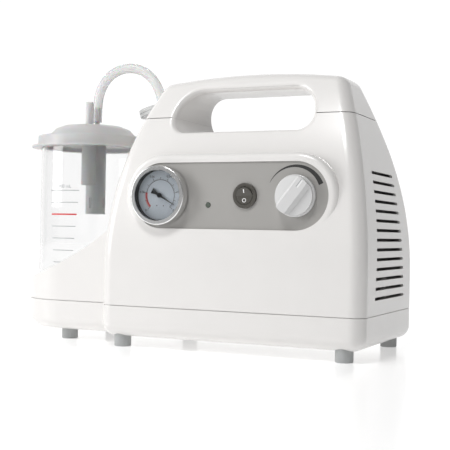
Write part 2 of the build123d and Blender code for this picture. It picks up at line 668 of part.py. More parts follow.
with BuildPart() as gauge_pointer:
    add(ring(at_gauge(DIAL_FRONT + 1.0), 2.2, 0, 1.8))
    with BuildSketch(at_gauge(DIAL_FRONT + 1.4)):
        with Locations(Rotation(0, 0, POINTER_ANGLE)):
            Polygon((POINTER_REACH, 0.15), (0, 0.9), (-POINTER_TAIL * 0.45, 1.3), (-POINTER_TAIL, 2.8),
                    (-POINTER_TAIL, -2.8), (-POINTER_TAIL * 0.45, -1.3), (0, -0.9), (POINTER_REACH, -0.15),
                    align=None)
    extrude(amount=0.6)
    add(ring(at_gauge(-8), SPINDLE_RADIUS, 0, 8 + DIAL_FRONT + 1.0))
keep("gauge_pointer", gauge_pointer)

with BuildPart() as gauge_movement:
    with BuildSketch(at_gauge(-8)):
        RectangleRounded(22, 14, 2)
        Circle(SPINDLE_RADIUS + RUNNING_CLEARANCE, mode=Mode.SUBTRACT)
    extrude(amount=1.2)
    with BuildSketch(at_gauge(-2)):
        RectangleRounded(22, 14, 2)
        Circle(SPINDLE_RADIUS + RUNNING_CLEARANCE, mode=Mode.SUBTRACT)
    extrude(amount=1.2)
    with BuildSketch(at_gauge(-7)):
        with Locations((-8.5, -5), (8.5, -5), (8.5, 5), (-8.5, 5)):
            Circle(1.2)
    extrude(amount=5.2)
    # the post that carries the movement on the socket
    with BuildSketch(at_gauge(-15)):
        with Locations((0, -5)):
            Rectangle(6, 2.4)
    extrude(amount=7.2)
keep("gauge_movement", gauge_movement)

bourdon_plane = at_gauge(-12)
with BuildPart() as bourdon_tube:
    with BuildLine(bourdon_plane) as coil:
        CenterArc((0, 0), 17, -70, 250)
    with BuildSketch(Plane(origin=coil.line @ 0, z_dir=coil.line % 0)):
        Ellipse(1.2, 3.0)
    sweep(path=coil.line)
keep("bourdon_tube", bourdon_tube)

with BuildPart() as gauge_socket:
    add(ring(at_gauge(-GAUGE_DEPTH + 1.6), 7, 0, 4.4))
    with BuildSketch(at_gauge(-15)):
        with Locations((0, -9.5)):
            Rectangle(9, 14)
    extrude(amount=-4)
    add(ring(at_gauge(-GAUGE_DEPTH - 6), 5, 0, 8))
    add(ring(at_gauge(-GAUGE_DEPTH - 18), 2.4, 0, 12.5))
    add(ring(at_gauge(-GAUGE_DEPTH - 19), 1.1, 0, 18), mode=Mode.SUBTRACT)
keep("gauge_socket", gauge_socket)


def at_switch(depth):
    return facing_front(SWITCH_X, PANEL_FACE + depth, PANEL_HEIGHT)


rocker_pivot = SWITCH_STAND_OUT - 1.0
with BuildPart() as switch_bezel:
    add(ring(at_switch(0), SWITCH_RIM_RADIUS, 0, SWITCH_STAND_OUT))
    fillet(switch_bezel.faces().sort_by(Axis.Y)[0].edges(), 0.8)
    add(ring(at_switch(-SWITCH_BODY_DEPTH), SWITCH_BODY_RADIUS, 0, SWITCH_BODY_DEPTH))
    add(ring(at_switch(-9), ROCKER_RADIUS + ROCKER_CLEARANCE, 0, 12), mode=Mode.SUBTRACT)
    with BuildSketch(facing_right(SWITCH_X, -PANEL_FACE - rocker_pivot, PANEL_HEIGHT)):
        Circle(0.9 + RUNNING_CLEARANCE)
    extrude(amount=9.2, both=True, mode=Mode.SUBTRACT)
    with BuildSketch(at_switch(-SWITCH_BODY_DEPTH)):
        with GridLocations(6.5, 7, 2, 2):
            Rectangle(0.8, 4.8)
    extrude(amount=-8)
keep("switch_bezel", switch_bezel)

# The rocker is part of a ball about its hinge, so that it keeps its clearance as it tips.
# Its lower half, marked O, is pressed flush, and its upper half, marked I, stands out.
throw = radians(ROCKER_THROW)
rocker_face = rocker_pivot + 1.0
with BuildPart() as switch_rocker:
    with Locations((SWITCH_X, -PANEL_FACE - rocker_pivot, PANEL_HEIGHT)):
        Sphere(ROCKER_RADIUS)
    with BuildSketch(facing_right(SWITCH_X, 0, PANEL_HEIGHT)):
        with BuildLine():
            front = -PANEL_FACE - rocker_face
            Polyline((front + 7, -9), (front, -9), (front, 0), (front - 9 * tan(throw), 9), (front + 4, 9),
                     (front + 7, -9))
        make_face()
    extrude(amount=2 * ROCKER_RADIUS, both=True, mode=Mode.INTERSECT)
    with BuildSketch(facing_right(SWITCH_X, -PANEL_FACE - rocker_pivot, PANEL_HEIGHT)):
        Circle(0.9)
    extrude(amount=9.1, both=True)
keep("switch_rocker", switch_rocker)

with BuildPart() as indicator_lens:
    indicator_z = PANEL_HEIGHT - INDICATOR_DROP
    add(ring(facing_front(INDICATOR_X, PANEL_FACE - 8, indicator_z), INDICATOR_RADIUS, 0, 8.6))
    fillet(indicator_lens.faces().sort_by(Axis.Y)[0].edges(), 0.5)
keep("indicator_lens", indicator_lens)


def at_knob(depth):
    return facing_front(KNOB_X, PANEL_FACE + depth, PANEL_HEIGHT)


with BuildPart() as regulator_knob:
    add(ring(at_knob(0.6), KNOB_RADIUS, 0, 3.0))
    fillet(regulator_knob.faces().sort_by(Axis.Y)[0].edges(), 1.0)
    add(ring(at_knob(3.6), KNOB_BODY_RADIUS, 0, KNOB_STAND_OUT - 3.6))
    # two scoops leave a bar across the face
    bar = radians(KNOB_ANGLE)
    bar_end = Plane(origin=(KNOB_X, -PANEL_FACE, PANEL_HEIGHT),
                    x_dir=(sin(bar), 0, -cos(bar)), z_dir=(-cos(bar), 0, -sin(bar)))
    with BuildSketch(bar_end) as scoops:
        with BuildLine():
            top = KNOB_STAND_OUT + 1
            edge = KNOB_RADIUS + 1
            Polyline((KNOB_BAR_HALF_WIDTH, top), (KNOB_BAR_HALF_WIDTH + 0.4, KNOB_STAND_OUT),
                     (KNOB_BAR_HALF_WIDTH + 3.4, KNOB_RIM_LEVEL + 2.0), (edge, KNOB_RIM_LEVEL), (edge, top),
                     (KNOB_BAR_HALF_WIDTH, top))
        make_face()
        mirror(about=Plane.YZ)
    extrude(amount=2 * KNOB_RADIUS, both=True, mode=Mode.SUBTRACT)
    # hollow over the nut, and the socket for the stem
    add(ring(at_knob(0), 9.5, 0, 5), mode=Mode.SUBTRACT)
    add(ring(at_knob(0), STEM_RADIUS + RUNNING_CLEARANCE, 0, 9), mode=Mode.SUBTRACT)
keep("regulator_knob", regulator_knob)

with BuildPart() as regulator_stem:
    add(ring(at_knob(-VALVE_DEPTH + 8), STEM_RADIUS, 0, VALVE_DEPTH - 8 + 8.8))
    with BuildSketch(at_knob(-VALVE_DEPTH + 8)):
        Circle(STEM_RADIUS)
    extrude(amount=-STEM_RADIUS, taper=35)
keep("regulator_stem", regulator_stem)

wall_back = FRONT_WALL_BACK - PANEL_FACE
with BuildPart() as regulator_valve_body:
    add(ring(at_knob(wall_back - FIT), BUSHING_RADIUS, 0, -wall_back + FIT + 3.4))
    add(ring(at_knob(-VALVE_DEPTH), VALVE_RADIUS, 0, VALVE_DEPTH + wall_back - FIT))
    with BuildSketch(facing_right(KNOB_X, -PANEL_FACE + VALVE_DEPTH - 6, PANEL_HEIGHT)):
        Circle(NOZZLE_RADIUS)
    extrude(amount=-VALVE_RADIUS - 10)
    add(ring(at_knob(-VALVE_DEPTH - 10), NOZZLE_RADIUS, 0, 10.2))
    add(ring(at_knob(-VALVE_DEPTH + 4), STEM_RADIUS + RUNNING_CLEARANCE, 0, VALVE_DEPTH + 4),
        mode=Mode.SUBTRACT)
    add(ring(at_knob(-VALVE_DEPTH - 11), NOZZLE_BORE, 0, 16), mode=Mode.SUBTRACT)
    with BuildSketch(facing_right(KNOB_X, -PANEL_FACE + VALVE_DEPTH - 6, PANEL_HEIGHT)):
        Circle(NOZZLE_BORE)
    extrude(amount=-VALVE_RADIUS - 11, mode=Mode.SUBTRACT)
keep("regulator_valve_body", regulator_valve_body)

with BuildPart() as regulator_nut:
    with BuildSketch(at_knob(0)):
        RegularPolygon(8, 6)
        Circle(BUSHING_RADIUS + RUNNING_CLEARANCE, mode=Mode.SUBTRACT)
    extrude(amount=2.6)
keep("regulator_nut", regulator_nut)

# ---------------------------------------------------------------- jar and lid

jar_axis_plane = Plane(origin=(JAR_X, 0, 0), x_dir=(1, 0, 0), z_dir=(0, -1, 0))


def turned(outline):
    """A round piece about the jar's axis, from (radius, height) points of its half section."""
    with BuildPart(mode=Mode.PRIVATE) as made:
        with BuildSketch(jar_axis_plane):
            with BuildLine():
                Polyline(*outline, close=True)
            make_face()
        revolve(axis=Axis((JAR_X, 0, 0), (0, 0, 1)))
    return made.part


jar_bore = JAR_RADIUS - JAR_WALL
with BuildPart() as jar_hollow:
    add(ring(facing_up(JAR_X, 0, WELL_FLOOR + JAR_FLOOR), jar_bore, 0, JAR_TOP))
    fillet(jar_hollow.edges().group_by(Axis.Z)[0], JAR_BOTTOM_RADIUS - JAR_WALL)

with BuildPart() as jar:
    add(ring(facing_up(JAR_X, 0, WELL_FLOOR), JAR_RADIUS, 0, JAR_TOP - WELL_FLOOR))
    fillet(jar.edges().group_by(Axis.Z)[0], JAR_BOTTOM_RADIUS)
    add(jar_hollow.part, mode=Mode.SUBTRACT)
    # the pouring rim, rounded
    fillet(jar.edges().group_by(Axis.Z)[-1], JAR_WALL * 0.4)
keep("jar", jar)

seal_top = JAR_TOP + SEAL_THICKNESS
band_bore = JAR_RADIUS + LID_CLEARANCE
plug_radius = jar_bore - LID_CLEARANCE
with BuildPart() as jar_lid:
    add(turned([
        (0, LID_CROWN_HEIGHT), (LID_CROWN_RADIUS, LID_CROWN_HEIGHT),
        (LID_CROWN_RADIUS + 8, LID_CROWN_HEIGHT - 3.2),
        (LID_SHOULDER_RADIUS, LID_BAND_TOP), (LID_BAND_RADIUS, LID_BAND_TOP),
        (LID_BAND_RADIUS, LID_BRIM_BOTTOM + 2), (LID_BRIM_RADIUS, LID_BRIM_BOTTOM + 2),
        (LID_BRIM_RADIUS, LID_BRIM_BOTTOM), (band_bore, LID_BRIM_BOTTOM), (band_bore, seal_top),
        (plug_radius, seal_top), (plug_radius, JAR_TOP - LID_PLUG_DEPTH),
        (plug_radius - LID_WALL, JAR_TOP - LID_PLUG_DEPTH),
        (plug_radius - LID_WALL, LID_BAND_TOP - 3.4),
        (LID_CROWN_RADIUS + 6, LID_CROWN_HEIGHT - 3.2 - LID_WALL),
        (LID_CROWN_RADIUS - 1, LID_CROWN_HEIGHT - LID_WALL), (0, LID_CROWN_HEIGHT - LID_WALL),
    ]))
    fillet(jar_lid.edges().filter_by(
        lambda edge: edge.center().Z > LID_BAND_TOP - 0.1 and edge.radius > LID_CROWN_RADIUS - 0.5
        if edge.geom_type == GeomType.CIRCLE else False), 1.2)
    lid_under = LID_CROWN_HEIGHT - LID_WALL
    for (x, y), bore, outer, top, spigot in (
            (PATIENT_PORT, 2.7, PATIENT_PORT_RADIUS, PATIENT_PORT_TOP, SPLASH_TUBE_RADIUS - TUBE_WALL),
            (VACUUM_PORT, NOZZLE_BORE, NOZZLE_RADIUS, VACUUM_PORT_TOP, CAGE_BORE)):
        base = facing_up(JAR_X + x, y, LID_CROWN_HEIGHT - 1)
        add(ring(base, outer, 0, top - LID_CROWN_HEIGHT + 1))
        # the spigot under the lid that the tube below is pushed on to
        add(ring(facing_up(JAR_X + x, y, lid_under - 9), spigot - RUNNING_CLEARANCE, 0, 9.5))
        add(ring(facing_up(JAR_X + x, y, lid_under - 10), bore, 0, top), mode=Mode.SUBTRACT)
    add(ring(facing_up(JAR_X + VACUUM_PORT[0], VACUUM_PORT[1], LID_CROWN_HEIGHT - 0.5),
             4.4, NOZZLE_BORE, 2.2))
keep("jar_lid", jar_lid)

with BuildPart() as lid_seal:
    add(ring(facing_up(JAR_X, 0, JAR_TOP), band_bore - FIT, plug_radius + FIT, SEAL_THICKNESS))
keep("lid_seal", lid_seal)

tube_top = LID_CROWN_HEIGHT - LID_WALL - FIT
with BuildPart() as splash_tube:
    plane = facing_up(JAR_X + PATIENT_PORT[0], PATIENT_PORT[1], SPLASH_TUBE_END)
    add(ring(plane, SPLASH_TUBE_RADIUS, SPLASH_TUBE_RADIUS - TUBE_WALL, tube_top - SPLASH_TUBE_END))
keep("splash_tube", splash_tube)

cage_x = JAR_X + VACUUM_PORT[0]
cage_y = VACUUM_PORT[1]
float_top = FLOAT_BOTTOM + FLOAT_HEIGHT
seat_bottom = float_top + SEAL_THICKNESS + FLOAT_TRAVEL + 2 * FIT
with BuildPart() as float_cage:
    add(ring(facing_up(cage_x, cage_y, CAGE_END), CAGE_RADIUS, 0, tube_top - CAGE_END))
    add(ring(facing_up(cage_x, cage_y, CAGE_END + TUBE_WALL), CAGE_BORE, 0, CASING_TOP), mode=Mode.SUBTRACT)
    # the seat that the float's seal closes
    add(ring(facing_up(cage_x, cage_y, seat_bottom), CAGE_BORE + TUBE_WALL / 2, 2.5, 3.0))
    # the openings that let the liquid in under the float
    with BuildSketch(facing_front(cage_x, -cage_y, CAGE_END + 12)):
        SlotOverall(12, 3.4, rotation=90)
    extrude(amount=2 * CAGE_RADIUS, both=True, mode=Mode.SUBTRACT)
    with BuildSketch(facing_right(cage_x, cage_y, CAGE_END + 12)):
        SlotOverall(12, 3.4, rotation=90)
    extrude(amount=2 * CAGE_RADIUS, both=True, mode=Mode.SUBTRACT)
keep("float_cage", float_cage)

with BuildPart() as float_body:
    add(ring(facing_up(cage_x, cage_y, FLOAT_BOTTOM), CAGE_BORE - FLOAT_CLEARANCE, 0, FLOAT_HEIGHT))
    fillet(float_body.edges().group_by(Axis.Z)[0], 2)
keep("float", float_body)

with BuildPart() as float_seal:
    add(ring(facing_up(cage_x, cage_y, float_top), 5.0, 0, SEAL_THICKNESS))
keep("float_seal", float_seal)

# ---------------------------------------------------------------- filter, its elbow and the hose

filter_flat = FILTER_THICKNESS / 2
with BuildPart() as filter_lower_half:
    add(ring(on_filter(-filter_flat), FILTER_RADIUS, 0, filter_flat - 0.1))
    fillet(filter_lower_half.faces().sort_by(Axis.Z)[0].edges(), 0.8)
    add(ring(on_filter(-filter_flat + FILTER_WALL), FILTER_RADIUS - 2.4, 0, filter_flat), mode=Mode.SUBTRACT)
    add(ring(on_filter(-filter_flat - 6), 6, 0, 6.1))
    add(ring(on_filter(-filter_flat - 7), SOCKET_RADIUS, 0, 1 + SPIGOT_LENGTH + 1), mode=Mode.SUBTRACT)
    add(ring(on_filter(-filter_flat - 3), NOZZLE_BORE, 0, 7), mode=Mode.SUBTRACT)
keep("filter_lower_half", filter_lower_half)

with BuildPart() as filter_upper_half:
    add(ring(on_filter(0.1), FILTER_RADIUS, 0, filter_flat - 0.1))
    fillet(filter_upper_half.faces().sort_by(Axis.Z)[-1].edges(), 0.8)
    add(ring(on_filter(-0.1), FILTER_RADIUS - 2.4, 0, filter_flat - FILTER_WALL + 0.1), mode=Mode.SUBTRACT)
    add(ring(on_filter(filter_flat - 0.2), HOSE_RADIUS, 0, 2.2))
    add(ring(on_filter(filter_flat + 1.8), 2.2, 0, 3.2))
    add(ring(on_filter(filter_flat - 2), 1.2, 0, 9), mode=Mode.SUBTRACT)
keep("filter_upper_half", filter_upper_half)

with BuildPart() as filter_membrane:
    add(ring(on_filter(-0.3), FILTER_RADIUS - 2.4 - FIT, 0, 0.6))
keep("filter_membrane", filter_membrane)

elbow_inner_x = elbow_corner.X + 24.0
with BuildPart() as suction_elbow:
    with BuildLine() as bend:
        FilletPolyline((elbow_inner_x, elbow_corner.Y, elbow_corner.Z), elbow_corner,
                       filter_centre - filter_axis * (filter_flat + 6 + 0.3), radius=ELBOW_BEND)
    with BuildSketch(Plane(origin=bend.line @ 0, z_dir=bend.line % 0)):
        Circle(ELBOW_RADIUS)
        Circle(NOZZLE_BORE, mode=Mode.SUBTRACT)
    sweep(path=bend.line)
    add(ring(on_filter(-filter_flat - 6.4), SPIGOT_RADIUS, NOZZLE_BORE, SPIGOT_LENGTH + 0.4))
    # the barb inside the casing
    with BuildSketch(facing_right(elbow_inner_x - 0.1, elbow_corner.Y, elbow_corner.Z)):
        Circle(NOZZLE_RADIUS)
        Circle(NOZZLE_BORE, mode=Mode.SUBTRACT)
    extrude(amount=10)
keep("suction_elbow", suction_elbow)

with BuildPart() as elbow_nut:
    with BuildSketch(facing_right(nut_seat_x, elbow_corner.Y, elbow_corner.Z)):
        RegularPolygon(NUT_RADIUS, 6)
        Circle(ELBOW_RADIUS + RUNNING_CLEARANCE, mode=Mode.SUBTRACT)
    extrude(amount=4)
keep("elbow_nut", elbow_nut)

# The hose's route stands in the upright plane through the two ports. Each point is
# (how far along the way from the lid's port to the filter's, height).
hose_foot = Vector(JAR_X + VACUUM_PORT[0], VACUUM_PORT[1], HOSE_END)
hose_tip = filter_centre + filter_axis * (filter_flat + 2.0)
way = Vector(hose_tip.X - hose_foot.X, hose_tip.Y - hose_foot.Y, 0)
span = way.length
way = way.normalized()
hose_profile = [(0, HOSE_END), (0, 243.2), (3.1, 260.5), (11.5, 274.1), (25.0, 282.6), (41.5, 283.6),
                (56.4, 276.8)]
hose_points = [Vector(hose_foot.X + way.X * s, hose_foot.Y + way.Y * s, z) for s, z in hose_profile]
hose_points += [hose_tip + filter_axis * 17.0, hose_tip]
hose_radii = []
for before, corner, after in zip(hose_points, hose_points[1:], hose_points[2:]):
    turn = radians((corner - before).get_angle(after - corner))
    hose_radii.append(0.45 * min((corner - before).length, (after - corner).length) / tan(turn / 2))
with BuildPart() as hose:
    with BuildLine() as route:
        FilletPolyline(*hose_points, radius=hose_radii)
    with BuildSketch(Plane(origin=route.line @ 0, z_dir=route.line % 0)):
        Circle(HOSE_RADIUS)
        Circle(HOSE_BORE, mode=Mode.SUBTRACT)
    sweep(path=route.line)
hose_length = sum(edge.length for edge in route.edges())
hose_section = pi * (HOSE_RADIUS**2 - HOSE_BORE**2)
print("hose radii", [round(radius, 1) for radius in hose_radii])
print("hose length", round(hose_length, 1), "volume over section times length",
      round(hose.part.volume / (hose_section * hose_length), 4))
keep("hose", hose)

# ---------------------------------------------------------------- mains inlet

with BuildPart() as power_inlet:
    back = facing_front(INLET_X, -CASING_HALF_DEPTH, INLET_HEIGHT)
    with BuildSketch(back):
        RectangleRounded(INLET_FLANGE[0], INLET_FLANGE[1], 4)
    extrude(amount=-INLET_FLANGE[2])
    with BuildSketch(back):
        RectangleRounded(INLET_BODY[0], INLET_BODY[1], 3)
    extrude(amount=INLET_BODY[2])
    with BuildSketch(facing_front(INLET_X, -CASING_HALF_DEPTH - INLET_FLANGE[2] - 1, INLET_HEIGHT)):
        Rectangle(INLET_BODY[0] - 4, INLET_BODY[1] - 4.5)
    extrude(amount=15, mode=Mode.SUBTRACT)
    with BuildSketch(facing_front(INLET_X, -CASING_HALF_DEPTH + 3, INLET_HEIGHT)):
        with Locations((-7, -2), (0, 2), (7, -2)):
            Rectangle(2, 4)
    extrude(amount=INLET_BODY[2] + 4)
    with BuildSketch(back):
        with GridLocations(INLET_SCREW_SPACING, 0, 2, 1):
            Circle(SCREW_RADIUS + FIT)
    extrude(amount=-2 * INLET_FLANGE[2], both=True, mode=Mode.SUBTRACT)
keep("power_inlet", power_inlet)

# ---------------------------------------------------------------- motor and pump

def across(x):
    """A plane square to the motor's shaft, looking along +X, with its axis at the origin."""
    return facing_right(x, MOTOR_Y, MOTOR_HEIGHT)


stator_end = STATOR_START + STATOR_LENGTH
front_bracket_x = STATOR_START - WINDING_LENGTH - BRACKET_THICKNESS
rear_bracket_x = stator_end + WINDING_LENGTH
plate_top = PLATE_HEIGHT + PLATE_THICKNESS
tray_floor = UNDERSIDE + WALL

with BuildPart() as pump_plate:
    plate_length = rear_bracket_x + BRACKET_THICKNESS + 16 - (CRANK_X - 18)
    with BuildSketch(facing_up(CRANK_X - 18, MOTOR_Y, PLATE_HEIGHT)):
        with Locations((plate_length / 2, 0)):
            RectangleRounded(plate_length, 100, 6)
        with Locations(*[(x - CRANK_X + 18, y - MOTOR_Y) for x, y in mount_places]):
            Circle(SCREW_RADIUS + FIT, mode=Mode.SUBTRACT)
    extrude(amount=PLATE_THICKNESS)
keep("pump_plate", pump_plate)

with BuildPart() as rubber_mounts:
    for x, y in mount_places:
        add(ring(facing_up(x, y, tray_floor), MOUNT_RADIUS, 0, PLATE_HEIGHT - tray_floor))
        add(ring(facing_up(x, y, tray_floor + 4), SCREW_RADIUS + FIT, 0, PLATE_HEIGHT), mode=Mode.SUBTRACT)
keep("rubber_mounts", rubber_mounts)

with BuildPart() as mount_screws:
    for x, y in mount_places:
        add(screw(facing_up(x, y, plate_top), 9))
keep("mount_screws", mount_screws)

with BuildPart() as motor_stator:
    add(ring(across(STATOR_START), STATOR_RADIUS, STATOR_BORE, STATOR_LENGTH))
keep("motor_stator", motor_stator)

with BuildPart() as motor_windings:
    for x in (STATOR_START - WINDING_LENGTH + 0.5, stator_end):
        add(ring(across(x), STATOR_RADIUS - 5, STATOR_BORE + 1.5, WINDING_LENGTH - 0.5))
    fillet(motor_windings.edges().filter_by(
        lambda edge: edge.radius > STATOR_RADIUS - 6 if edge.geom_type == GeomType.CIRCLE else False), 2)
keep("motor_windings", motor_windings)


def bracket(x):
    """A motor end bracket: a round plate with a bearing seat, standing on a foot."""
    with BuildPart(mode=Mode.PRIVATE) as made:
        with BuildSketch(across(x)):
            Circle(STATOR_RADIUS + 2)
            with Locations((0, plate_top - MOTOR_HEIGHT)):
                Rectangle(2 * STATOR_RADIUS - 14, MOTOR_HEIGHT - plate_top, align=(Align.CENTER, Align.MIN))
            Circle(BEARING_RADIUS, mode=Mode.SUBTRACT)
            with PolarLocations(BEARING_RADIUS + 13, 6):
                Circle(6, mode=Mode.SUBTRACT)
        extrude(amount=BRACKET_THICKNESS)
    return made.part


with BuildPart() as motor_front_bracket:
    add(bracket(front_bracket_x))
keep("motor_front_bracket", motor_front_bracket)

with BuildPart() as motor_rear_bracket:
    add(bracket(rear_bracket_x))
keep("motor_rear_bracket", motor_rear_bracket)

with BuildPart() as motor_tie_bolts:
    for y, z in ((-33, 30), (33, 30)):
        with BuildSketch(facing_right(front_bracket_x + BRACKET_THICKNESS, MOTOR_Y + y, MOTOR_HEIGHT + z)):
            Circle(2)
        extrude(amount=rear_bracket_x - front_bracket_x - BRACKET_THICKNESS)
keep("motor_tie_bolts", motor_tie_bolts)

with BuildPart() as shaft_bearings:
    for x in (front_bracket_x, rear_bracket_x):
        add(ring(across(x), BEARING_RADIUS, SHAFT_RADIUS + RUNNING_CLEARANCE, BEARING_WIDTH))
keep("shaft_bearings", shaft_bearings)

with BuildPart() as motor_shaft:
    shaft_start = CRANK_X - ROD_WIDTH / 2 - 1
    add(ring(across(shaft_start), SHAFT_RADIUS, 0, FAN_X + FAN_WIDTH / 2 + 4 - shaft_start))
keep("motor_shaft", motor_shaft)

with BuildPart() as rotor_core:
    add(ring(across(STATOR_START), ROTOR_RADIUS, SHAFT_RADIUS, STATOR_LENGTH))
keep("rotor_core", rotor_core)

with BuildPart() as cooling_fan:
    add(ring(across(FAN_X - FAN_WIDTH / 2), 11, SHAFT_RADIUS, FAN_WIDTH))
    with BuildSketch(across(FAN_X - FAN_WIDTH / 2)):
        with PolarLocations((FAN_RADIUS + 9) / 2, FAN_BLADES):
            Rectangle(FAN_RADIUS - 9, 2.0, rotation=14)
    extrude(amount=FAN_WIDTH)
keep("cooling_fan", cooling_fan)

crank_pin = Plane(origin=(0, MOTOR_Y, MOTOR_HEIGHT + CRANK_THROW), x_dir=(0, 1, 0), z_dir=(1, 0, 0))
with BuildPart() as eccentric:
    with BuildSketch(crank_pin.offset(CRANK_X - ROD_WIDTH / 2)):
        Circle(ECCENTRIC_RADIUS)
        with Locations((0, -CRANK_THROW)):
            Circle(SHAFT_RADIUS, mode=Mode.SUBTRACT)
    extrude(amount=ROD_WIDTH + 3)
    # the counterweight, beside the rod and opposite the throw
    with BuildSketch(across(CRANK_X + ROD_WIDTH / 2 + 1)):
        with BuildLine():
            rim = CenterArc((0, 0), 15, 200, 140)
            Line(rim @ 1, rim @ 0)
        make_face()
        Circle(SHAFT_RADIUS, mode=Mode.SUBTRACT)
    extrude(amount=6)
keep("eccentric", eccentric)

with BuildPart() as rod_bearing:
    with BuildSketch(crank_pin.offset(CRANK_X - ROD_WIDTH / 2)):
        Circle(ROD_BEARING_RADIUS)
        Circle(ECCENTRIC_RADIUS + RUNNING_CLEARANCE, mode=Mode.SUBTRACT)
    extrude(amount=ROD_WIDTH)
keep("rod_bearing", rod_bearing)

rod_top = DIAPHRAGM_Z + CRANK_THROW - 4.0
with BuildPart() as connecting_rod:
    with BuildSketch(crank_pin.offset(CRANK_X - ROD_WIDTH / 2)):
        Circle(ROD_BEARING_RADIUS + 4)
        with Locations((0, ROD_BEARING_RADIUS)):
            Rectangle(9, rod_top - MOTOR_HEIGHT - CRANK_THROW - ROD_BEARING_RADIUS,
                      align=(Align.CENTER, Align.MIN))
        Circle(ROD_BEARING_RADIUS, mode=Mode.SUBTRACT)
    extrude(amount=ROD_WIDTH)
    add(ring(facing_up(CRANK_X, MOTOR_Y, rod_top - 1), CLAMP_RADIUS, 0, 4.0))
    add(ring(facing_up(CRANK_X, MOTOR_Y, rod_top), 3.0, 0, 4.0 + DIAPHRAGM_THICKNESS + 0.4))
keep("connecting_rod", connecting_rod)

diaphragm_bottom = rod_top + 3.0
with BuildPart() as diaphragm:
    add(ring(facing_up(CRANK_X, MOTOR_Y, diaphragm_bottom), DIAPHRAGM_RADIUS, 3.0, DIAPHRAGM_THICKNESS))
keep("diaphragm", diaphragm)

diaphragm_top = diaphragm_bottom + DIAPHRAGM_THICKNESS
with BuildPart() as diaphragm_clamp:
    add(ring(facing_up(CRANK_X, MOTOR_Y, diaphragm_top), CLAMP_RADIUS, 3.0, 2.5))
keep("diaphragm_clamp", diaphragm_clamp)

crankcase_start = front_bracket_x - CRANKCASE_LENGTH
with BuildPart() as crankcase:
    with BuildSketch(across(crankcase_start)):
        with Locations((0, plate_top - MOTOR_HEIGHT)):
            Rectangle(2 * HEAD_HALF_WIDTH, diaphragm_bottom - plate_top, align=(Align.CENTER, Align.MIN))
    extrude(amount=CRANKCASE_LENGTH)
    with BuildSketch(facing_up(CRANK_X, MOTOR_Y, diaphragm_bottom - 6)):
        Rectangle(2 * HEAD_HALF_WIDTH, 2 * HEAD_HALF_WIDTH)
    extrude(amount=6)
    # the crank space, open towards the motor, and the throat up to the diaphragm
    with BuildSketch(across(crankcase_start + 4)):
        Circle(24)
    extrude(amount=CRANKCASE_LENGTH, mode=Mode.SUBTRACT)
    with BuildSketch(facing_up(CRANK_X, MOTOR_Y, MOTOR_HEIGHT)):
        Circle(CLAMP_RADIUS + CRANK_THROW + 1.5)
    extrude(amount=REACH, mode=Mode.SUBTRACT)
keep("crankcase", crankcase)

head_bottom = diaphragm_top
with BuildPart() as valve_plate:
    with BuildSketch(facing_up(CRANK_X, MOTOR_Y, head_bottom)):
        RectangleRounded(2 * HEAD_HALF_WIDTH, 2 * HEAD_HALF_WIDTH, 4)
    extrude(amount=12)
    add(ring(facing_up(CRANK_X, MOTOR_Y, head_bottom - 1), CHAMBER_RADIUS, 0, 9), mode=Mode.SUBTRACT)
    with Locations((CRANK_X - 9, MOTOR_Y, head_bottom), (CRANK_X + 9, MOTOR_Y, head_bottom)):
        Cylinder(2, 40, mode=Mode.SUBTRACT)
keep("valve_plate", valve_plate)

with BuildPart() as valve_flaps:
    for x, z in ((CRANK_X - 9, head_bottom + 12), (CRANK_X + 9, head_bottom + 12)):
        add(ring(facing_up(x, MOTOR_Y, z), 5, 0, 0.6))
keep("valve_flaps", valve_flaps)

head_start = head_bottom + 12
with BuildPart() as pump_head:
    with BuildSketch(facing_up(CRANK_X, MOTOR_Y, head_start)):
        RectangleRounded(2 * HEAD_HALF_WIDTH, 2 * HEAD_HALF_WIDTH, 4)
    extrude(amount=14)
    for x in (-9, 9):
        add(ring(facing_up(CRANK_X + x, MOTOR_Y, head_start - 1), 6.5, 0, 10), mode=Mode.SUBTRACT)
    with BuildSketch(facing_right(CRANK_X, MOTOR_Y, head_start + 6)):
        Circle(NOZZLE_RADIUS)
    extrude(amount=HEAD_HALF_WIDTH + 10, both=True)
    with BuildSketch(facing_right(CRANK_X, MOTOR_Y, head_start + 6)):
        Circle(NOZZLE_BORE)
    extrude(amount=HEAD_HALF_WIDTH + 11, both=True, mode=Mode.SUBTRACT)
    with BuildSketch(facing_right(CRANK_X - 1.25, MOTOR_Y, head_start + 6)):
        Circle(NOZZLE_RADIUS)
    extrude(amount=2.5)
    with BuildSketch(facing_up(CRANK_X, MOTOR_Y, head_start + 14)):
        for y in range(-3, 4):
            with Locations((0, y * 7.5)):
                Rectangle(2 * HEAD_HALF_WIDTH - 20, 2.2)
    extrude(amount=6)
    with Locations((CRANK_X, MOTOR_Y, head_start)):
        with GridLocations(2 * HEAD_HALF_WIDTH - 10, 2 * HEAD_HALF_WIDTH - 10, 2, 2):
            Cylinder(SCREW_RADIUS + FIT, 60, mode=Mode.SUBTRACT)
keep("pump_head", pump_head)

with BuildPart() as exhaust_muffler:
    muffler = facing_right(CRANK_X + HEAD_HALF_WIDTH + 10.5, MOTOR_Y, head_start + 6)
    with BuildSketch(muffler):
        Circle(9)
    extrude(amount=36)
    fillet(exhaust_muffler.edges(), 2)
    with BuildSketch(muffler):
        Circle(NOZZLE_BORE)
    extrude(amount=30, mode=Mode.SUBTRACT)
keep("exhaust_muffler", exhaust_muffler)

# ---------------------------------------------------------------- moved to the unit's own frame

held = [piece for name, piece in pieces.items() if name != "hose"]
boxes = [piece.bounding_box() for piece in held]
middle_x = (min(box.min.X for box in boxes) + max(box.max.X for box in boxes)) / 2
middle_y = (min(box.min.Y for box in boxes) + max(box.max.Y for box in boxes)) / 2
print("the casing's middle lies at", round(-middle_x, 4), round(-middle_y, 4))

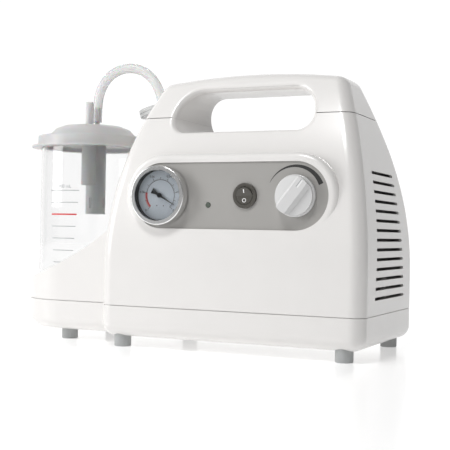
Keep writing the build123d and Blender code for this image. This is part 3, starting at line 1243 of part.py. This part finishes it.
os.makedirs("parts", exist_ok=True)
for name, piece in pieces.items():
    moved = Pos(-middle_x, -middle_y, 0) * piece
    moved.label = name
    export_step(moved, f"parts/{name}.step")
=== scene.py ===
import json
from math import cos, pi, radians, sin

import bpy
from mathutils import Matrix, Vector


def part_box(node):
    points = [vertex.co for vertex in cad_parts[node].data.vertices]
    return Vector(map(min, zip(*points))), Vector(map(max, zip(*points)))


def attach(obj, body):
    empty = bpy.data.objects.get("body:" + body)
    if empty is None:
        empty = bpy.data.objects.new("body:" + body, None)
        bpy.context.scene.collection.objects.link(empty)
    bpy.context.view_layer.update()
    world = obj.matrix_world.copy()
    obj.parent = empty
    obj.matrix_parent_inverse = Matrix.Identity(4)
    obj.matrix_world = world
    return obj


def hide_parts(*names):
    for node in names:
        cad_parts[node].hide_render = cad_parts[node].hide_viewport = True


# A portable suction pump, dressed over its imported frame: the finish of each piece, the printing
# on the gauge, the switch, the knob and the jar, and the free hose. The row frame is in metres.

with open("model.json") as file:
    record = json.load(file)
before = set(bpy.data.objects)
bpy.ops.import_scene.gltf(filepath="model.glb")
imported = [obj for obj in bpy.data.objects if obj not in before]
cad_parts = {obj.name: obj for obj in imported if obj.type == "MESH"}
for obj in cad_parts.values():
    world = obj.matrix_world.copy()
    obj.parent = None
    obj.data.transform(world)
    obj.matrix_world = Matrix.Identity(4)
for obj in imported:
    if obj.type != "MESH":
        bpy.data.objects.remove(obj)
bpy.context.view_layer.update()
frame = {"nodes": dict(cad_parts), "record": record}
MM = 0.001


# ---------------------------------------------------------------- places taken from the frame

def middle(node):
    """The middle of a CAD node's box."""
    low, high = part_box(node)
    return (low + high) / 2


def front_of(node):
    """The middle of the front of a CAD node's box."""
    low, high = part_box(node)
    return Vector(((low.x + high.x) / 2, low.y, (low.z + high.z) / 2))


CASING_MIDDLE_X = middle("control_panel").x
CASING_MIDDLE_Y = middle("base_tray").y
PANEL_FRONT = front_of("control_panel").y
DIAL = front_of("gauge_dial")
KNOB = front_of("regulator_knob")
ROCKER = front_of("switch_bezel")
JAR = middle("jar")
JAR_RADIUS = (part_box("jar")[1].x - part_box("jar")[0].x) / 2
INK = 0.06 * MM                 # how far printing stands off its surface


# ---------------------------------------------------------------- camera

CAMERA_PLACE = Vector((433.85, -885.25, 109.7)) * MM
CAMERA_AZIMUTH = radians(24.75)
CAMERA_RISE = radians(0.46)
CAMERA_ROLL = radians(1.12)
CAMERA_LENS = 78.65             # millimetres, on a 36 mm sensor


def make_camera():
    data = bpy.data.cameras.new("camera")
    data.lens = CAMERA_LENS
    data.sensor_width = 36.0
    data.clip_end = 50.0
    camera = bpy.data.objects.new("camera", data)
    bpy.context.scene.collection.objects.link(camera)
    sight = Vector((-sin(CAMERA_AZIMUTH) * cos(CAMERA_RISE), cos(CAMERA_AZIMUTH) * cos(CAMERA_RISE),
                    sin(CAMERA_RISE)))
    turn = sight.to_track_quat("-Z", "Y").to_matrix().to_4x4()
    camera.matrix_world = Matrix.Translation(CAMERA_PLACE) @ turn @ Matrix.Rotation(CAMERA_ROLL, 4, "Z")
    bpy.context.scene.camera = camera


make_camera()


# ---------------------------------------------------------------- shader groups

def new_group(name, inputs, outputs):
    """An empty shader node group with its sockets, and its input and output nodes."""
    group = bpy.data.node_groups.new(name, "ShaderNodeTree")
    for socket, kind, value in inputs:
        made = group.interface.new_socket(socket, in_out="INPUT", socket_type=kind)
        made.default_value = value
    for socket, kind in outputs:
        group.interface.new_socket(socket, in_out="OUTPUT", socket_type=kind)
    return group, group.nodes.new("NodeGroupInput"), group.nodes.new("NodeGroupOutput")


def object_noise(group, scale_socket, detail=3.0, stretch=(1.0, 1.0, 1.0)):
    """A noise texture in the object's own coordinates, stretched along its axes."""
    place = group.nodes.new("ShaderNodeTexCoord")
    mapping = group.nodes.new("ShaderNodeMapping")
    mapping.inputs["Scale"].default_value = stretch
    noise = group.nodes.new("ShaderNodeTexNoise")
    noise.inputs["Detail"].default_value = detail
    group.links.new(place.outputs["Object"], mapping.inputs["Vector"])
    group.links.new(mapping.outputs["Vector"], noise.inputs["Vector"])
    group.links.new(scale_socket, noise.inputs["Scale"])
    return noise


def build_moulded_surface():
    """The fine orange-peel of a moulding, and the way its gloss drifts from place to place."""
    group, given, out = new_group("moulded_surface", [
        ("Roughness", "NodeSocketFloat", 0.3),
        ("Drift", "NodeSocketFloat", 0.06),
        ("Grain", "NodeSocketFloat", 1500.0),
        ("Depth", "NodeSocketFloat", 0.1),
    ], [("Roughness", "NodeSocketFloat"), ("Normal", "NodeSocketVector")])
    broad = group.nodes.new("ShaderNodeTexNoise")
    broad.inputs["Scale"].default_value = 14.0
    place = group.nodes.new("ShaderNodeTexCoord")
    centred = group.nodes.new("ShaderNodeMath")
    centred.operation = "SUBTRACT"
    centred.inputs[1].default_value = 0.5
    scaled = group.nodes.new("ShaderNodeMath")
    scaled.operation = "MULTIPLY_ADD"
    grain = object_noise(group, given.outputs["Grain"], detail=2.0)
    bump = group.nodes.new("ShaderNodeBump")
    bump.inputs["Distance"].default_value = 0.0002
    link = group.links.new
    link(place.outputs["Object"], broad.inputs["Vector"])
    link(broad.outputs["Fac"], centred.inputs[0])
    link(centred.outputs["Value"], scaled.inputs[0])
    link(given.outputs["Drift"], scaled.inputs[1])
    link(given.outputs["Roughness"], scaled.inputs[2])
    link(scaled.outputs["Value"], out.inputs["Roughness"])
    link(grain.outputs["Fac"], bump.inputs["Height"])
    link(given.outputs["Depth"], bump.inputs["Strength"])
    link(bump.outputs["Normal"], out.inputs["Normal"])
    return group


def build_toned_colour():
    """A colour that wanders softly towards a second one."""
    group, given, out = new_group("toned_colour", [
        ("Colour", "NodeSocketColor", (0.8, 0.8, 0.8, 1.0)),
        ("Second", "NodeSocketColor", (0.7, 0.7, 0.7, 1.0)),
        ("Scale", "NodeSocketFloat", 20.0),
    ], [("Colour", "NodeSocketColor")])
    noise = object_noise(group, given.outputs["Scale"], detail=5.0)
    spread = group.nodes.new("ShaderNodeMapRange")
    spread.inputs["From Min"].default_value = 0.3
    spread.inputs["From Max"].default_value = 0.7
    blend = group.nodes.new("ShaderNodeMix")
    blend.data_type = "RGBA"
    link = group.links.new
    link(noise.outputs["Fac"], spread.inputs["Value"])
    link(spread.outputs["Result"], blend.inputs["Factor"])
    link(given.outputs["Colour"], blend.inputs["A"])
    link(given.outputs["Second"], blend.inputs["B"])
    link(blend.outputs["Result"], out.inputs["Colour"])
    return group


def build_tool_marks():
    """Fine lines left by a tool or a die, running across one axis."""
    group, given, out = new_group("tool_marks", [
        ("Roughness", "NodeSocketFloat", 0.3),
        ("Scale", "NodeSocketFloat", 300.0),
        ("Depth", "NodeSocketFloat", 0.2),
    ], [("Roughness", "NodeSocketFloat"), ("Normal", "NodeSocketVector")])
    lines = object_noise(group, given.outputs["Scale"], detail=4.0, stretch=(8.0, 1.0, 1.0))
    drift = group.nodes.new("ShaderNodeMath")
    drift.operation = "MULTIPLY_ADD"
    drift.inputs[1].default_value = 0.15
    bump = group.nodes.new("ShaderNodeBump")
    bump.inputs["Distance"].default_value = 0.0001
    link = group.links.new
    link(lines.outputs["Fac"], drift.inputs[0])
    link(given.outputs["Roughness"], drift.inputs[2])
    link(drift.outputs["Value"], out.inputs["Roughness"])
    link(lines.outputs["Fac"], bump.inputs["Height"])
    link(given.outputs["Depth"], bump.inputs["Strength"])
    link(bump.outputs["Normal"], out.inputs["Normal"])
    return group


MOULDED_SURFACE = build_moulded_surface()
TONED_COLOUR = build_toned_colour()
TOOL_MARKS = build_tool_marks()


# ---------------------------------------------------------------- materials

def new_material(name, **sockets):
    """A material with a Principled BSDF, whose plain values are set on the shader's own sockets."""
    material = bpy.data.materials.new(name)
    material.use_nodes = True
    shader = material.node_tree.nodes["Principled BSDF"]
    for socket, value in sockets.items():
        shader.inputs[socket.replace("_", " ")].default_value = value
    return material, shader


def place_group(material, group, **values):
    """Places a shader group in a material, with values for its sockets."""
    node = material.node_tree.nodes.new("ShaderNodeGroup")
    node.node_tree = group
    for socket, value in values.items():
        node.inputs[socket].default_value = value
    return node


def colour_from(material, shader, colour, second, scale):
    """Leads the shader's colour from the toned colour group."""
    node = place_group(material, TONED_COLOUR, Colour=(*colour, 1), Second=(*second, 1), Scale=scale)
    material.node_tree.links.new(node.outputs["Colour"], shader.inputs["Base Color"])


def surface_from(material, shader, group, **values):
    """Leads the shader's roughness and normal from a surface group."""
    node = place_group(material, group, **values)
    material.node_tree.links.new(node.outputs["Roughness"], shader.inputs["Roughness"])
    material.node_tree.links.new(node.outputs["Normal"], shader.inputs["Normal"])


def moulding(name, colour, second, roughness, grain=1500.0, depth=0.08, drift=0.06, scale=25.0,
             **sockets):
    """A moulded plastic, silicone or rubber, or a painted or printed face."""
    material, shader = new_material(name, **sockets)
    colour_from(material, shader, colour, second, scale)
    surface_from(material, shader, MOULDED_SURFACE,
                 Roughness=roughness, Drift=drift, Grain=grain, Depth=depth)
    return material


def metal(name, colour, second, roughness, scale=300.0, depth=0.2, **sockets):
    """A bare, plated or cast metal with its tool marks."""
    material, shader = new_material(name, Metallic=1.0, **sockets)
    colour_from(material, shader, colour, second, 60.0)
    surface_from(material, shader, TOOL_MARKS, Roughness=roughness, Scale=scale, Depth=depth)
    return material


def make_materials():
    """One finish for each slot of the record, and the inks."""
    return {
        "casing_white": moulding("casing_white", (0.80, 0.785, 0.77), (0.785, 0.77, 0.755), 0.24,
                                 grain=700, depth=0.05, Coat_Weight=0.25, Coat_Roughness=0.12),
        "foot_rubber": moulding("foot_rubber", (0.42, 0.43, 0.43), (0.37, 0.38, 0.38), 0.7, depth=0.3),
        "steel": metal("steel", (0.60, 0.60, 0.60), (0.52, 0.52, 0.52), 0.25),
        "panel_silver": moulding("panel_silver", (0.40, 0.39, 0.375), (0.38, 0.37, 0.355), 0.42,
                                 grain=4000, depth=0.12, Metallic=0.25),
        "black_plastic": moulding("black_plastic", (0.025, 0.025, 0.027), (0.035, 0.035, 0.036), 0.5,
                                  depth=0.3),
        "gauge_rim": metal("gauge_rim", (0.86, 0.86, 0.86), (0.80, 0.80, 0.80),
                           0.16, scale=500, depth=0.08),
        "clear_plastic": clear_plastic("clear_plastic", (0.97, 0.98, 0.98), 0.02),
        "dial_face": moulding("dial_face", (0.72, 0.77, 0.84), (0.70, 0.75, 0.82), 0.4, depth=0.04),
        "pointer_black": moulding("pointer_black", (0.008, 0.008, 0.009), (0.012, 0.012, 0.012), 0.4),
        "brass": metal("brass", (0.62, 0.42, 0.18), (0.55, 0.36, 0.15), 0.3),
        "switch_black": moulding("switch_black", (0.072, 0.067, 0.058), (0.078, 0.073, 0.063), 0.32,
                                 depth=0.15),
        "lamp_green": moulding("lamp_green", (0.10, 0.12, 0.10), (0.07, 0.085, 0.07),
                               0.2, Coat_Weight=0.5),
        "knob_white": moulding("knob_white", (0.66, 0.66, 0.66), (0.64, 0.64, 0.64), 0.3,
                               depth=0.1, Coat_Weight=0.2),
        "jar_clear": clear_plastic("jar_clear", (0.99, 0.99, 0.99), 0.03),
        "lid_white": translucent("lid_white", (0.90, 0.895, 0.895), (0.87, 0.865, 0.865), 0.34, 0.5),
        "seal_silicone": translucent("seal_silicone", (0.74, 0.74, 0.73), (0.70, 0.70, 0.69),
                                     0.45, 0.3),
        "float_white": moulding("float_white", (0.72, 0.72, 0.71), (0.68, 0.68, 0.67), 0.45),
        "filter_grey": moulding("filter_grey", (0.60, 0.605, 0.60), (0.57, 0.575, 0.57), 0.34),
        "membrane": moulding("membrane", (0.80, 0.80, 0.78), (0.74, 0.74, 0.72),
                             0.9, grain=3000, depth=0.8),
        "hose_silicone": translucent("hose_silicone", (0.92, 0.92, 0.915), (0.90, 0.90, 0.895),
                                     0.26, 0.6),
        "stator_iron": metal("stator_iron", (0.20, 0.20, 0.21), (0.14, 0.14, 0.15),
                             0.5, scale=700, depth=0.5),
        "copper": metal("copper", (0.50, 0.20, 0.08), (0.42, 0.15, 0.06), 0.35, scale=900, depth=0.9),
        "cast_aluminium": metal("cast_aluminium", (0.56, 0.57, 0.58), (0.48, 0.49, 0.50), 0.45,
                                scale=1200, depth=0.5),
        "diaphragm_rubber": moulding("diaphragm_rubber", (0.02, 0.02, 0.02), (0.03, 0.03, 0.03), 0.7),
        "ink_black": moulding("ink_black", (0.015, 0.015, 0.016), (0.02, 0.02, 0.021), 0.5, depth=0.02),
        "ink_charcoal": moulding("ink_charcoal", (0.035, 0.034, 0.033), (0.03, 0.03, 0.03),
                                 0.45, depth=0.02),
        "ink_grey": moulding("ink_grey", (0.22, 0.23, 0.24), (0.25, 0.26, 0.27), 0.5, depth=0.02),
        "ink_red": moulding("ink_red", (0.62, 0.03, 0.03), (0.55, 0.03, 0.03), 0.5, depth=0.02),
        "ink_pink": moulding("ink_pink", (0.80, 0.30, 0.28), (0.78, 0.33, 0.30), 0.5, depth=0.02),
        "ink_white": moulding("ink_white", (0.85, 0.85, 0.85), (0.80, 0.80, 0.80), 0.5, depth=0.02),
    }


def clear_plastic(name, colour, roughness):
    """A clear moulding: glassy, with a faint drift in its gloss."""
    material, shader = new_material(name, Transmission_Weight=1.0, IOR=1.4)
    colour_from(material, shader, colour, [0.99 * part for part in colour], 12.0)
    surface_from(material, shader, MOULDED_SURFACE,
                 Roughness=roughness, Drift=0.02, Grain=120.0, Depth=0.02)
    return material


def translucent(name, colour, second, roughness, clearness):
    """A milky plastic or silicone that lets some light through."""
    material, shader = new_material(name, Transmission_Weight=clearness, IOR=1.42,
                                    Subsurface_Weight=0.25, Subsurface_Scale=0.004)
    colour_from(material, shader, colour, second, 30.0)
    surface_from(material, shader, MOULDED_SURFACE,
                 Roughness=roughness, Drift=0.05, Grain=600.0, Depth=0.06)
    return material


MATERIALS = make_materials()


def dress_frame():
    """Gives each CAD node the finish of its slot."""
    for part in frame["record"]["subparts"]:
        node = frame["nodes"][part["node"]]
        for slot in node.material_slots:
            slot.material = MATERIALS[part["material_slot"]]


dress_frame()


# ---------------------------------------------------------------- piece helpers

def new_piece(name, verts, faces, finish, body, record_slot):
    """A mesh piece in the row frame that rides on a body."""
    mesh = bpy.data.meshes.new(name)
    mesh.from_pydata(verts, [], faces)
    mesh.materials.append(MATERIALS[finish])
    mesh.validate()
    piece = bpy.data.objects.new(name, mesh)
    bpy.context.scene.collection.objects.link(piece)
    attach(piece, body)
    return piece


def facing_front(origin):
    """Places a flat drawing (x to the right, y up) on an upright face that looks to the front."""
    return lambda x, y: Vector((origin.x + x, origin.y - INK, origin.z + y))


def round_jar(x, y):
    """Wraps a flat drawing round the front of the jar, x along its surface, y its height."""
    radius = JAR_RADIUS + INK
    return Vector((JAR.x + radius * sin(x / radius), JAR.y - radius * cos(x / radius), y))


def band(inner, outer, place):
    """The vertices and faces of a band between two rows of points."""
    count = len(inner)
    verts = [place(*point) for point in inner] + [place(*point) for point in outer]
    faces = [(i, i + 1, count + i + 1, count + i) for i in range(count - 1)]
    return verts, faces


def gathered(bands):
    """Several bands as one mesh's vertices and faces."""
    verts, faces = [], []
    for more_verts, more_faces in bands:
        faces += [tuple(i + len(verts) for i in face) for face in more_faces]
        verts += more_verts
    return verts, faces


def polar(radius, degrees):
    return radius * cos(radians(degrees)), radius * sin(radians(degrees))


def arc_band(inner, outer, start, end, place, steps=48):
    """A band along an arc. A radius is a number, or a function of the way along from 0 to 1."""
    def at(radius, part):
        return polar(radius(part) if callable(radius) else radius, start + (end - start) * part)
    parts = [step / steps for step in range(steps + 1)]
    return band([at(inner, part) for part in parts], [at(outer, part) for part in parts], place)


def stroke(x, y, width, height, place, steps=1, turn=0.0):
    """A straight stroke about (x, y), in steps along its width so that it can bend."""
    xs = [width * (step / steps - 0.5) for step in range(steps + 1)]
    def turned(u, v):
        return x + u * cos(turn) - v * sin(turn), y + u * sin(turn) + v * cos(turn)
    return band([turned(u, -height / 2) for u in xs], [turned(u, height / 2) for u in xs], place)


def lettering(words, x, y, size, place, turn=0.0):
    """The outline of some plain figures, centred on (x, y), as vertices and faces."""
    font = bpy.data.curves.new("figures", "FONT")
    font.body = words
    font.size = size
    font.align_x = "CENTER"
    font.align_y = "CENTER"
    font.resolution_u = 3
    holder = bpy.data.objects.new("figures", font)
    mesh = bpy.data.meshes.new_from_object(holder)
    spin = Matrix.Rotation(turn, 2)
    flat = [spin @ vertex.co.xy for vertex in mesh.vertices]
    verts = [place(x + point.x, y + point.y) for point in flat]
    faces = [tuple(face.vertices) for face in mesh.polygons]
    bpy.data.objects.remove(holder)
    bpy.data.meshes.remove(mesh)
    bpy.data.curves.remove(font)
    return verts, faces


# ---------------------------------------------------------------- hose

HOSE_DIAMETER = 10.0 * MM
# The same points as the hose's route in the part's source, about the casing's middle.
HOSE_ROUTE = [
    (-197.0, 12.0, 225.4), (-197.0, 12.0, 243.2), (-194.01, 12.84, 260.5), (-185.93, 15.1, 274.1),
    (-172.92, 18.74, 282.6), (-157.03, 23.18, 283.6), (-142.68, 27.2, 276.8),
    (-131.63, 29.59, 261.67), (-127.76, 31.37, 245.21),
]


def make_hose():
    curve = bpy.data.curves.new("hose_line", "CURVE")
    curve.dimensions = "3D"
    curve.bevel_depth = HOSE_DIAMETER / 2
    curve.bevel_resolution = 8
    curve.use_fill_caps = True
    curve.resolution_u = 24
    spline = curve.splines.new("NURBS")
    spline.points.add(len(HOSE_ROUTE) - 1)
    for point, (x, y, z) in zip(spline.points, HOSE_ROUTE):
        point.co = (x * MM + CASING_MIDDLE_X, y * MM + CASING_MIDDLE_Y, z * MM, 1.0)
    spline.order_u = 3
    spline.use_endpoint_u = True
    curve.materials.append(MATERIALS["hose_silicone"])
    hose = bpy.data.objects.new("hose_line", curve)
    bpy.context.scene.collection.objects.link(hose)
    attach(hose, "lid")
    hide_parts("hose")


make_hose()


# ---------------------------------------------------------------- gauge dial

DIAL_START, DIAL_END = -45.0, 225.0         # degrees at no vacuum and at full vacuum
DIAL_ARC = 14.6 * MM
RED_START = 169.0               # degrees
DIAL_DIVISIONS = 10
TICKS_PER_DIVISION = 5
LONG_TICK, MIDDLE_TICK, SHORT_TICK = 3.0 * MM, 2.4 * MM, 1.3 * MM
BOLD_TICK, FINE_TICK = 0.42 * MM, 0.2 * MM
FIGURE_HEIGHT = 3.0 * MM
FIGURE_SPACING = 5.0 * MM       # from the arc out to the middle of a figure
DIAL_DOT_RADIUS = 0.55 * MM
DIAL_DOT_X, DIAL_DOT_DROP = 3.5 * MM, 9.5 * MM


def dial_angle(part):
    """The direction in degrees of a reading, from 0 for no vacuum to 1 for full vacuum."""
    return DIAL_START + (DIAL_END - DIAL_START) * part


def dial_ticks(place):
    ticks = []
    count = TICKS_PER_DIVISION * DIAL_DIVISIONS
    for step in range(count + 1):
        on_division = step % TICKS_PER_DIVISION == 0
        on_figure = step % (2 * TICKS_PER_DIVISION) == 0
        reach = LONG_TICK if on_figure else MIDDLE_TICK if on_division else SHORT_TICK
        width = BOLD_TICK if on_division else FINE_TICK
        x, y = polar(DIAL_ARC + reach / 2, dial_angle(step / count))
        ticks.append(stroke(x, y, reach, width, place, turn=radians(dial_angle(step / count))))
    return ticks


def dial_figures(place):
    figures = []
    for figure in range(0, DIAL_DIVISIONS + 1, 2):
        x, y = polar(DIAL_ARC + FIGURE_SPACING, dial_angle(figure / DIAL_DIVISIONS))
        words = "0" if figure == 0 else f"{figure / 100:.2f}".rstrip("0")
        figures.append(lettering(words, x, y, FIGURE_HEIGHT, place))
    return figures


def print_dial():
    place = facing_front(DIAL)
    arc = arc_band(DIAL_ARC - 0.2 * MM, DIAL_ARC + 0.2 * MM, DIAL_START - 3, RED_START, place)
    dots = [arc_band(0.0, DIAL_DOT_RADIUS, 0, 360,
                     facing_front(DIAL + Vector((side * DIAL_DOT_X, 0, -DIAL_DOT_DROP))), steps=16)
            for side in (-1, 1)]
    new_piece("dial_scale", *gathered([arc, *dial_ticks(place), *dial_figures(place), *dots]),
              "ink_black", "root", "dial_face")
    new_piece("dial_red_arc",
              *arc_band(DIAL_ARC - 0.9 * MM, DIAL_ARC + 0.4 * MM, RED_START, DIAL_END, place),
              "ink_red", "root", "dial_face")
    new_piece("dial_pink_arc",
              *arc_band(DIAL_ARC + 0.5 * MM, DIAL_ARC + 1.5 * MM, RED_START, DIAL_END, place),
              "ink_pink", "root", "dial_face")


print_dial()


# ---------------------------------------------------------------- knob, its crescent and the switch

CRESCENT_RADIUS = 27.5 * MM
CRESCENT_THICK = 4.5 * MM
CRESCENT_THIN = 0.2 * MM
CRESCENT_THIN_END, CRESCENT_THICK_END = 155.0, 24.0     # degrees
KNOB_MARK_ANGLE = 52.0
KNOB_MARK_REACH = 12.6 * MM     # from the knob's axis to the middle of its mark
KNOB_MARK_LENGTH = 8.0 * MM
KNOB_MARK_SPACING = 1.3 * MM
ROCKER_TILT = radians(20.0)
ROCKER_LINE_RISE = 4.4 * MM     # from the rocker's axis to the middle of its line
ROCKER_RING_DROP = 4.2 * MM


def print_crescent():
    """The tapering arc round the knob that shows which way the suction grows."""
    place = facing_front(Vector((KNOB.x, PANEL_FRONT, KNOB.z)))
    def inner(part):
        return CRESCENT_RADIUS - CRESCENT_THIN - (CRESCENT_THICK - CRESCENT_THIN) * part
    new_piece("knob_crescent",
              *arc_band(inner, CRESCENT_RADIUS, CRESCENT_THIN_END, CRESCENT_THICK_END, place),
              "ink_charcoal", "root", "panel_silver")


def print_knob_mark():
    """A white line beside a dark one, near the end of the knob's bar."""
    place = facing_front(KNOB)
    turn = radians(KNOB_MARK_ANGLE)
    x, y = polar(KNOB_MARK_REACH, KNOB_MARK_ANGLE)
    new_piece("knob_mark_white", *stroke(x, y, KNOB_MARK_LENGTH, 1.3 * MM, place, turn=turn),
              "ink_white", "knob", "knob_white")
    side = Vector((-sin(turn), cos(turn))) * KNOB_MARK_SPACING
    new_piece("knob_mark_dark",
              *stroke(x + side.x, y + side.y, KNOB_MARK_LENGTH, 0.5 * MM, place, turn=turn),
              "ink_grey", "knob", "knob_white")


def print_switch_marks():
    """A line on the rocker's upper half, which stands out, and a ring on its lower half."""
    def on_upper(x, y):
        return ROCKER + Vector((x, -INK - y * sin(ROCKER_TILT), y * cos(ROCKER_TILT)))
    new_piece("switch_line", *stroke(0, ROCKER_LINE_RISE, 0.9 * MM, 3.6 * MM, on_upper),
              "ink_white", "rocker", "switch_black")
    low = facing_front(ROCKER - Vector((0, 0, ROCKER_RING_DROP)))
    new_piece("switch_ring", *arc_band(1.3 * MM, 1.9 * MM, 0, 360, low, steps=32),
              "ink_white", "rocker", "switch_black")


print_crescent()
print_knob_mark()
print_switch_marks()


# ---------------------------------------------------------------- jar scale

SCALE_TOP = 149.6 * MM
SCALE_PITCH = 12.1 * MM
SCALE_LINES = 9
RED_LINE = 2
SCALE_WIDEST = 34.5 * MM
SCALE_NARROWEST = 18.0 * MM
VOLUME_RISE = 4.0 * MM          # from the top line to the middle of the volume above it
VOLUME_HEIGHT = 5.0 * MM


def print_jar_scale():
    grey, red = [], []
    for line in range(SCALE_LINES):
        height = SCALE_TOP - line * SCALE_PITCH
        width = SCALE_WIDEST - (SCALE_WIDEST - SCALE_NARROWEST) * line / (SCALE_LINES - 1)
        if line == RED_LINE:
            red.append(stroke(0, height, width, 1.5 * MM, round_jar, steps=12))
        else:
            grey.append(stroke(0, height, width, 0.6 * MM, round_jar, steps=12))
    grey.append(lettering("1000 mL", 0, SCALE_TOP + VOLUME_RISE, VOLUME_HEIGHT, round_jar))
    new_piece("jar_scale", *gathered(grey), "ink_grey", "jar", "jar_clear")
    new_piece("jar_red_line", *gathered(red), "ink_red", "jar", "jar_clear")


print_jar_scale()


# ---------------------------------------------------------------- floor and light

FLOOR_HALF_WIDTH = 6.0
BACKDROP_STRENGTH = 1.05
BACKDROP_FULL = 0.86            # cosine of the angle out to which the backdrop is full
BACKDROP_FADES = 0.35
ROOM_STRENGTH = 0.22


def make_floor():
    """A wide glossy white floor, faintly lit from below."""
    half = FLOOR_HALF_WIDTH
    mesh = bpy.data.meshes.new("floor")
    mesh.from_pydata([(-half, -half, 0), (half, -half, 0), (half, half, 0), (-half, half, 0)], [],
                     [(0, 1, 2, 3)])
    material = moulding("floor_white", (0.88, 0.88, 0.88), (0.875, 0.875, 0.875), 0.18, depth=0.0,
                        drift=0.02, Emission_Color=(1.0, 1.0, 1.0, 1.0), Emission_Strength=0.32)
    mesh.materials.append(material)
    floor = bpy.data.objects.new("floor", mesh)
    bpy.context.scene.collection.objects.link(floor)


def make_light(name, place, target, size, power):
    data = bpy.data.lights.new(name, "AREA")
    data.shape = "RECTANGLE"
    data.size, data.size_y = size
    data.energy = power
    light = bpy.data.objects.new(name, data)
    light.location = place
    light.rotation_euler = (Vector(target) - Vector(place)).to_track_quat("-Z", "Y").to_euler()
    bpy.context.scene.collection.objects.link(light)


def make_world():
    """A white backdrop behind the unit, and a dimmer room all round."""
    world = bpy.data.worlds.new("studio")
    world.use_nodes = True
    nodes, links = world.node_tree.nodes, world.node_tree.links
    place = nodes.new("ShaderNodeTexCoord")
    toward = nodes.new("ShaderNodeVectorMath")
    toward.operation = "DOT_PRODUCT"
    toward.inputs[1].default_value = (-sin(CAMERA_AZIMUTH), cos(CAMERA_AZIMUTH), 0.0)
    blend = nodes.new("ShaderNodeMapRange")
    blend.interpolation_type = "SMOOTHSTEP"
    blend.inputs["From Min"].default_value = BACKDROP_FADES
    blend.inputs["From Max"].default_value = BACKDROP_FULL
    blend.inputs["To Min"].default_value = ROOM_STRENGTH
    blend.inputs["To Max"].default_value = BACKDROP_STRENGTH
    background = nodes["Background"]
    background.inputs["Color"].default_value = (1.0, 1.0, 1.0, 1.0)
    links.new(place.outputs["Generated"], toward.inputs[0])
    links.new(toward.outputs["Value"], blend.inputs["Value"])
    links.new(blend.outputs["Result"], background.inputs["Strength"])
    bpy.context.scene.world = world


make_floor()
make_light("overhead", (-0.05, -0.95, 1.5), (0.0, 0.0, 0.12), (0.5, 0.4), 13)
make_light("front_left", (-1.1, -0.75, 0.5), (-0.1, 0.0, 0.12), (0.6, 0.7), 9)
make_world()
bpy.context.scene.view_settings.view_transform = "Standard"
